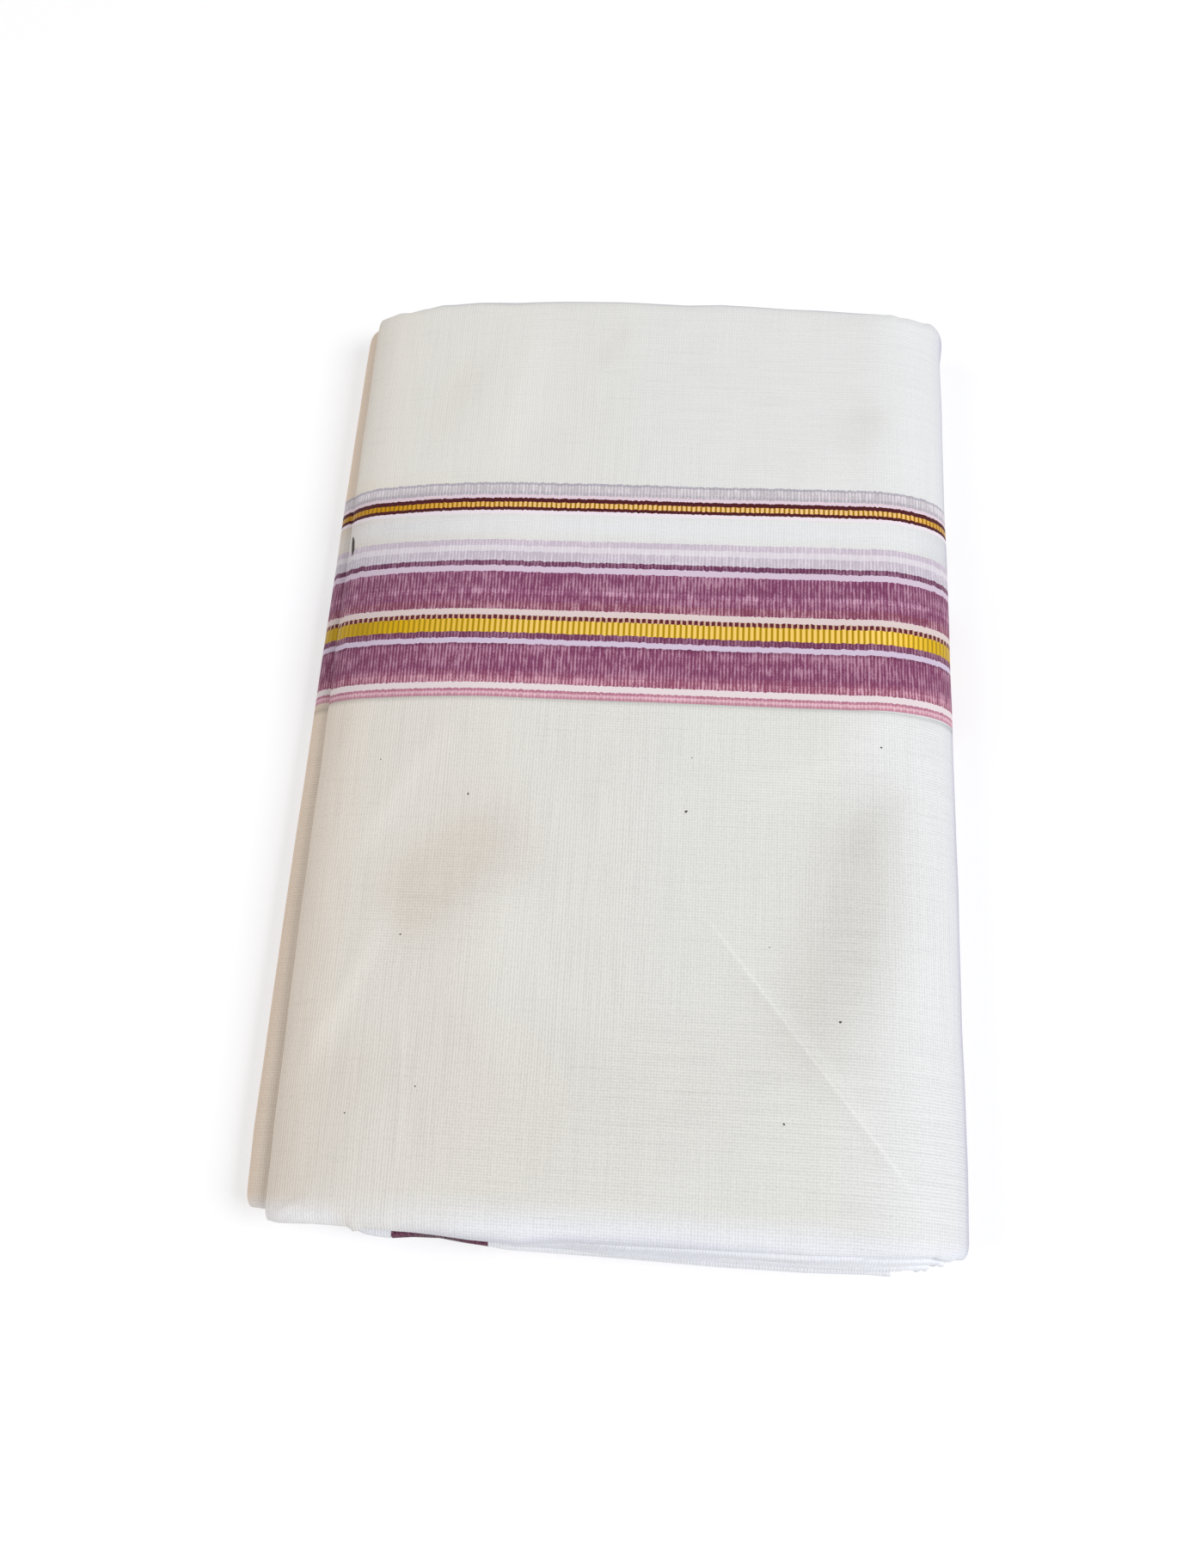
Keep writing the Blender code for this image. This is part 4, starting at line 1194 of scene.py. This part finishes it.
def loop_path(loop, y):
    """The closed path of one loop of strip at stations y.

    Returns x, z, how far in its layer lies, its place in the stack from 0 to 2, and how far down
    a right turn it is, from 0 to 1.
    """
    outer_place = (loop + 0.5) / LAYERS_IN_BUNDLE
    parts = []
    first = 0
    for name, bundle, outside, steps in LOOP_STRETCHES:
        t = np.arange(steps) / steps
        here = y if y.shape[1] == 1 else y[:, first : first + steps]
        place = outer_place if outside else 1.0 - outer_place
        if name == "right turn":
            t = t if outside else 1.0 - t
            x, z = right_turn(place, t, here)
        elif name == "left turn":
            x, z = left_turn(bundle, loop, t, here)
        else:
            upper = bundle == "upper"
            left, _ = left_turn(bundle, loop, np.array([1.0 if upper == outside else 0.0]), here)
            right, _ = right_turn(place, np.array([0.0 if upper else 1.0]), here)
            start, end = (left, right) if name == "run to the right" else (right, left)
            x = start + (end - start) * t
            z = layer_height(bundle, 1.0 - place if upper else place, x, here)
        x, z = np.broadcast_arrays(x, z)
        stack, below = stack_place(x, here, z), 0.0
        if name == "right turn":
            stack, below = 2.0 - place, np.interp(t, RIGHT_TURN_BELOW, (0.0, 1.0))
        parts.append([np.broadcast_to(part, x.shape) for part in (x, z, place, stack, below)])
        first += steps
    return tuple(np.concatenate([part[i] for part in parts], axis=1) for i in range(5))


NOSE_STEPS = 10
NOSE_RUN = 1.3 * MM
MIDDLE_ROWS = 9
TUCKED_BACK = 1.3 * MM  # the outermost layer stays this far inside the flap's edge
HALF_LAYER = 0.45  # of a layer's share of the height, which leaves a little air
THINNEST, THICKEST = 0.5 * MM, 1.9 * MM


def loop_grid(loop):
    """Points of one loop: a flattened tube of cloth carried along its closed path.

    Across the path the tube is a near nose, a flat run, a far nose and a flat run back. The noses
    are half ellipses.
    """
    start = np.array([[STATIONS[0, 0]]])
    x, z, place, stack, below = loop_path(loop, start)
    low0, low1, high0, high1 = core_bounds(x, start)
    in_upper = z > split(x)
    thickness = np.where(in_upper, high1 - high0, low1 - low0) / LAYERS_IN_BUNDLE
    half = HALF_LAYER * np.clip(thickness, THINNEST, THICKEST)
    ends = {}
    for side, toward in (("near", 1.0), ("far", -1.0)):
        edge = edge_of(side, x, in_upper)
        seed = loop + LOOPS * in_upper
        over, under = (reach(side, level, x, seed) for level in (stack, 2.0 - stack))
        stands = (1.0 - below) * over + below * under
        tucked = place < 1.0 / LAYERS_IN_BUNDLE
        ends[side] = edge - toward * np.where(tucked, -TUCKED_BACK, stands)
    by_height = stack_place(x, start, z)
    band = (x > BAND_START - BAND_ROOM[0]) & (x < BAND_END + BAND_ROOM[1])
    band &= (by_height > BAND_LOW - BAND_ROOM_BELOW) & (by_height < BAND_HIGH)
    ends["near"] = np.where(band, BAND_BACK, ends["near"])

    angle = np.radians(np.linspace(-90.0, 90.0, NOSE_STEPS + 1))[:, None]
    run = NOSE_RUN * (1.0 - np.cos(angle))
    near_y, far_y = ends["near"] + run, ends["far"] - run
    share = (np.arange(1, MIDDLE_ROWS + 1) / (MIDDLE_ROWS + 1))[:, None]
    out_y = near_y[-1:] + (far_y[-1:] - near_y[-1:]) * share
    y = np.concatenate([near_y, out_y, far_y[::-1], out_y[::-1]])
    flat = np.ones_like(share)
    lift = np.concatenate([np.sin(angle), flat, np.sin(angle)[::-1], -flat])
    x, z = loop_path(loop, y)[:2]
    dx, dz = (np.roll(part, -1, axis=1) - np.roll(part, 1, axis=1) for part in (x, z))
    length = np.maximum(np.hypot(dx, dz), 1e-9)
    out_x, out_z = -dz / length, dx / length
    spread = 1.0 + (TURN_SPREAD - 1.0) * np.abs(out_x) * (x > 0.0)
    offset = lift * half * spread
    return np.stack([x + offset * out_x, y, z + offset * out_z], axis=2)


def make_loop(loop, material):
    """One loop of folded strip inside the packet, with round noses at its near and far ends."""
    points = loop_grid(loop)
    rows, columns = points.shape[:2]
    along = arc_lengths(points, 1)[0]
    across = arc_lengths(points, 0)[:, :1]
    uv = np.stack(np.broadcast_arrays(along, across), axis=2)
    x, y = points[..., 0] / MM, points[..., 1] / MM
    # Painted light at the layers' ends, painted lilac shade at the near end and painted shade all
    # over.
    cool = np.interp(np.abs(y), LAYER_PAINTED_LIGHT, (0.0, 1.0)) * np.where(y < 0, 1.0, FAR_PAINTED_LIGHT)
    lilac = np.interp(x, *LAYER_PAINTED_EDGE_SHADE) * (y < LILAC_TO)
    shades = {"shade": np.full((rows, columns), LAYER_PAINTED_SHADE), "cool": cool, "lilac": lilac}
    quads = grid_quads(rows, columns, around=True, flip=True)
    name = f"inner_layers_{loop + 1}"
    piece = new_piece(name, points, quads, material, uv=uv, shades=shades)
    thicken(piece, LAYER_SHELL)
    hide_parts("hidden_layers")


def make_cross_band(material):
    """Two folds of the layer with the cross band, sat between the bundles at the near edge.

    Each is a run, a half-ellipse nose and a run back, carried across the packet.
    """
    x = np.union1d(BAND_EDGE[:, 0], np.linspace(BAND_START, BAND_END, BAND_COLUMNS))[None]
    tip = np.interp(x, *BAND_EDGE.T)
    low0, low1, _, _ = core_bounds(x, np.full_like(x, STATIONS[0, 0]))
    angle = np.radians(np.linspace(-90.0, 90.0, BAND_NOSE_POINTS))[:, None]
    share = np.linspace(0.0, 1.0, BAND_RUN_ROWS + 1)[:-1, None]
    mean, swing, wave = BACK_WAVE
    for name, low, high, back in BAND_FOLDS:
        floor, ceiling = low0 + low * (low1 - low0), low0 + high * (low1 - low0)
        middle, half = (floor + ceiling) / 2, (ceiling - floor) / 2
        nose_y = tip + back * (mean + swing * np.sin(x / wave)) + NOSE_RUN * (1.0 - np.cos(angle))
        run_y = BAND_BACK + (nose_y[:1] - BAND_BACK) * share
        y = np.concatenate([run_y, nose_y, run_y[::-1]])
        z = np.concatenate([floor + 0 * run_y, middle + half * np.sin(angle), ceiling + 0 * run_y])
        points = np.stack([np.broadcast_to(x, y.shape), y, z], axis=2)
        across = arc_lengths(points, 0)
        uv = np.stack([points[..., 0], across], axis=2)
        # Painted shade and painted light on the fold.
        shades = {"shade": np.full(y.shape, BAND_PAINTED_SHADE), "cool": np.full(y.shape, BAND_PAINTED_LIGHT)}
        piece = new_piece(name, points, grid_quads(*y.shape), material, uv=uv, shades=shades)
        thicken(piece, LAYER_SHELL)
        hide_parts("banded_layer")


def top_height(x, y):
    """Height of the finished top surface, with its creases and waves."""
    fold_tip, nose_tip = station("right_fold", y), station("upper_nose", y)
    over = np.clip((x - fold_tip + FOLD_ABOVE) / FOLD_ABOVE, 0.0, 1.0)
    on_fold = FOLD_HEIGHT + (station("height", y) - FOLD_HEIGHT) * np.sqrt(1.0 - over**2)
    before = np.clip(1.0 - (x - nose_tip) / UPPER_NOSE_ABOVE, 0.0, 1.0)
    on_nose = upper_z(x, y, UPPER_TIP + (1.0 - UPPER_TIP) * np.sqrt(1.0 - before**2))
    return np.where(over > 0, on_fold, on_nose) + creases(x, y) + waves(x, y)


SPECK_POINTS = 10
SPECK_RINGS = ((1.0, -0.05), (0.8, 0.05), (0.4, 0.09))  # share of the width, and rise in mm


def make_specks(material):
    """Seed specks as one mesh: low domes of rings, uneven in outline, laid on the cloth."""
    turn = np.linspace(0.0, 2 * np.pi, SPECK_POINTS, endpoint=False)
    ring = np.arange(SPECK_POINTS)
    after = np.roll(ring, -1)
    points, faces = [], []
    for index, (x, y, width, length, angle) in enumerate(SPECKS):
        first = index * SPECK_POINTS * len(SPECK_RINGS)
        uneven = 0.5 * (1.0 + 0.2 * np.sin(2 * turn + index) + 0.12 * np.sin(3 * turn))
        along, across = length * uneven * np.cos(turn), width * uneven * np.sin(turn)
        c, s = np.cos(np.radians(angle)), np.sin(np.radians(angle))
        for share, rise in SPECK_RINGS:
            at_x = (x + share * (along * c - across * s)) * MM
            at_y = (y + share * (along * s + across * c)) * MM
            points.append(np.stack([at_x, at_y, top_height(at_x, at_y) + rise * MM], axis=1))
        for low in (first, first + SPECK_POINTS):
            high = low + SPECK_POINTS
            quads = np.stack([low + ring, low + after, high + after, high + ring], axis=1)
            faces.extend(quads.tolist())
        faces.append((first + 2 * SPECK_POINTS + ring).tolist())
        faces.append((first + ring[::-1]).tolist())
    mesh = bpy.data.meshes.new("seed_specks")
    mesh.from_pydata(np.concatenate(points).tolist(), [], faces)
    mesh.materials.append(material)
    mesh.shade_smooth()
    piece = bpy.data.objects.new("seed_specks", mesh)
    bpy.context.scene.collection.objects.link(piece)
    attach(piece, "root")
    return piece


def make_floor(colour):
    """A plain pale floor just under the packet, lit from below like a light table."""
    mesh = bpy.data.meshes.new("floor")
    half, low = 3.0, -0.3 * MM
    corners = [(-half, -half, low), (half, -half, low), (half, half, low), (-half, half, low)]
    mesh.from_pydata(corners, [], [(0, 1, 2, 3)])
    material = bpy.data.materials.new("studio paper")
    material.use_nodes = True
    shader = material.node_tree.nodes["Principled BSDF"]
    shader.inputs["Base Color"].default_value = linear("#BCBCBD")
    shader.inputs["Emission Color"].default_value = linear(colour)
    shader.inputs["Emission Strength"].default_value = 0.5
    shader.inputs["Roughness"].default_value = 0.95
    mesh.materials.append(material)
    floor = bpy.data.objects.new("floor", mesh)
    bpy.context.scene.collection.objects.link(floor)


def make_light(name, place, size, watts, colour):
    """A square area light at a place, facing the packet."""
    light = bpy.data.lights.new(name, "AREA")
    light.size = size
    light.energy = watts
    light.color = linear(colour)[:3]
    obj = bpy.data.objects.new(name, light)
    place = np.array(place)
    obj.matrix_world = aimed(place, place / np.linalg.norm(place), 0.0)
    bpy.context.scene.collection.objects.link(obj)


def aimed(place, back, roll):
    """The matrix of a camera or light at a place, with its back along a unit vector, and rolled."""
    across = np.cross((0.0, 0.0, 1.0), back)
    across = across / np.linalg.norm(across)
    up = np.cross(back, across)
    c, s = np.cos(roll), np.sin(roll)
    axes = np.stack([c * across + s * up, -s * across + c * up, back], axis=1)
    matrix = np.eye(4)
    matrix[:3, :3] = axes
    matrix[:3, 3] = place
    return Matrix(matrix.tolist())


CAMERA_TARGET = (-10.66 * MM, -12.99 * MM, 0.0)
CAMERA_AZIMUTH = np.radians(12.14)
CAMERA_ELEVATION = np.radians(69.90)
CAMERA_ROLL = np.radians(-8.96)


def make_camera(distance, lens):
    """The camera at the photograph's angle, rolled as it was held."""
    camera = bpy.data.cameras.new("camera")
    camera.lens = lens
    camera.sensor_width = 36.0
    camera.clip_start = 0.01
    obj = bpy.data.objects.new("camera", camera)
    back = np.array(
        (
            np.sin(CAMERA_AZIMUTH) * np.cos(CAMERA_ELEVATION),
            -np.cos(CAMERA_AZIMUTH) * np.cos(CAMERA_ELEVATION),
            np.sin(CAMERA_ELEVATION),
        )
    )
    obj.matrix_world = aimed(np.array(CAMERA_TARGET) + distance * back, back, CAMERA_ROLL)
    bpy.context.scene.collection.objects.link(obj)
    bpy.context.scene.camera = obj


class DHOTI_OT_flaps(bpy.types.Operator):
    """Build the two flaps of the outer strip"""

    bl_idname = "dhoti.flaps"
    bl_label = "Build the flaps"

    def execute(self, context):
        cotton = context.scene.dhoti_cotton
        plain, bordered = creased_cotton(cotton), bordered_cotton(cotton)
        make_flap("near", "plain_flap_cloth", plain, cotton, "plain_flap")
        make_flap("far", "bordered_flap_cloth", bordered, cotton, "bordered_flap")
        return {"FINISHED"}


class DHOTI_OT_layers(bpy.types.Operator):
    """Build the folded layers inside, loop in loop"""

    bl_idname = "dhoti.layers"
    bl_label = "Build the inner layers"

    def execute(self, context):
        material = plain_cotton(context.scene.dhoti_cotton)
        material.name = "folded cotton"
        for loop in range(LOOPS):
            make_loop(loop, material)
        return {"FINISHED"}


class DHOTI_OT_cross_band(bpy.types.Operator):
    """Build the layer with the cross band"""

    bl_idname = "dhoti.cross_band"
    bl_label = "Build the cross band"

    def execute(self, context):
        make_cross_band(cross_banded_cotton(context.scene.dhoti_cotton))
        return {"FINISHED"}


class DHOTI_OT_specks(bpy.types.Operator):
    """Scatter the seed specks"""

    bl_idname = "dhoti.specks"
    bl_label = "Add the seed specks"

    def execute(self, context):
        make_specks(seed_husk())
        return {"FINISHED"}


class DHOTI_OT_stage(bpy.types.Operator):
    """Set up the floor, the lights and the camera"""

    bl_idname = "dhoti.stage"
    bl_label = "Set the stage"

    def execute(self, context):
        studio = context.scene.dhoti_studio
        make_floor(studio.floor)
        for light in LIGHTS:
            make_light(*light)
        world = bpy.data.worlds.new("studio")
        world.use_nodes = True
        background = world.node_tree.nodes["Background"]
        background.inputs["Color"].default_value = linear("#FCFCFD")
        background.inputs["Strength"].default_value = 0.45
        context.scene.world = world
        context.scene.view_settings.view_transform = "Standard"
        make_camera(studio.distance, studio.lens)
        return {"FINISHED"}


class DHOTI_PT_panel(bpy.types.Panel):
    """The steps and settings in the sidebar"""

    bl_idname = "DHOTI_PT_panel"
    bl_label = "Folded dhoti"
    bl_space_type = "VIEW_3D"
    bl_region_type = "UI"
    bl_category = "Dhoti"

    def draw(self, context):
        for name in ("shell", "relief", "cream", "shadow", "cool", "lilac"):
            self.layout.prop(context.scene.dhoti_cotton, name)
        for name in ("distance", "lens", "floor"):
            self.layout.prop(context.scene.dhoti_studio, name)
        for name in STEPS:
            self.layout.operator("dhoti." + name)


STEPS = ("flaps", "layers", "cross_band", "specks", "stage")
CLASSES = (
    DhotiCotton,
    DhotiStudio,
    DHOTI_OT_flaps,
    DHOTI_OT_layers,
    DHOTI_OT_cross_band,
    DHOTI_OT_specks,
    DHOTI_OT_stage,
    DHOTI_PT_panel,
)


def register():
    for cls in CLASSES:
        bpy.utils.register_class(cls)
    bpy.types.Scene.dhoti_cotton = bpy.props.PointerProperty(type=DhotiCotton)
    bpy.types.Scene.dhoti_studio = bpy.props.PointerProperty(type=DhotiStudio)


def unregister():
    del bpy.types.Scene.dhoti_studio
    del bpy.types.Scene.dhoti_cotton
    for cls in reversed(CLASSES):
        bpy.utils.unregister_class(cls)


def main():
    register()
    for step in STEPS:
        getattr(bpy.ops.dhoti, step)()


if __name__ == "__main__":
    main()
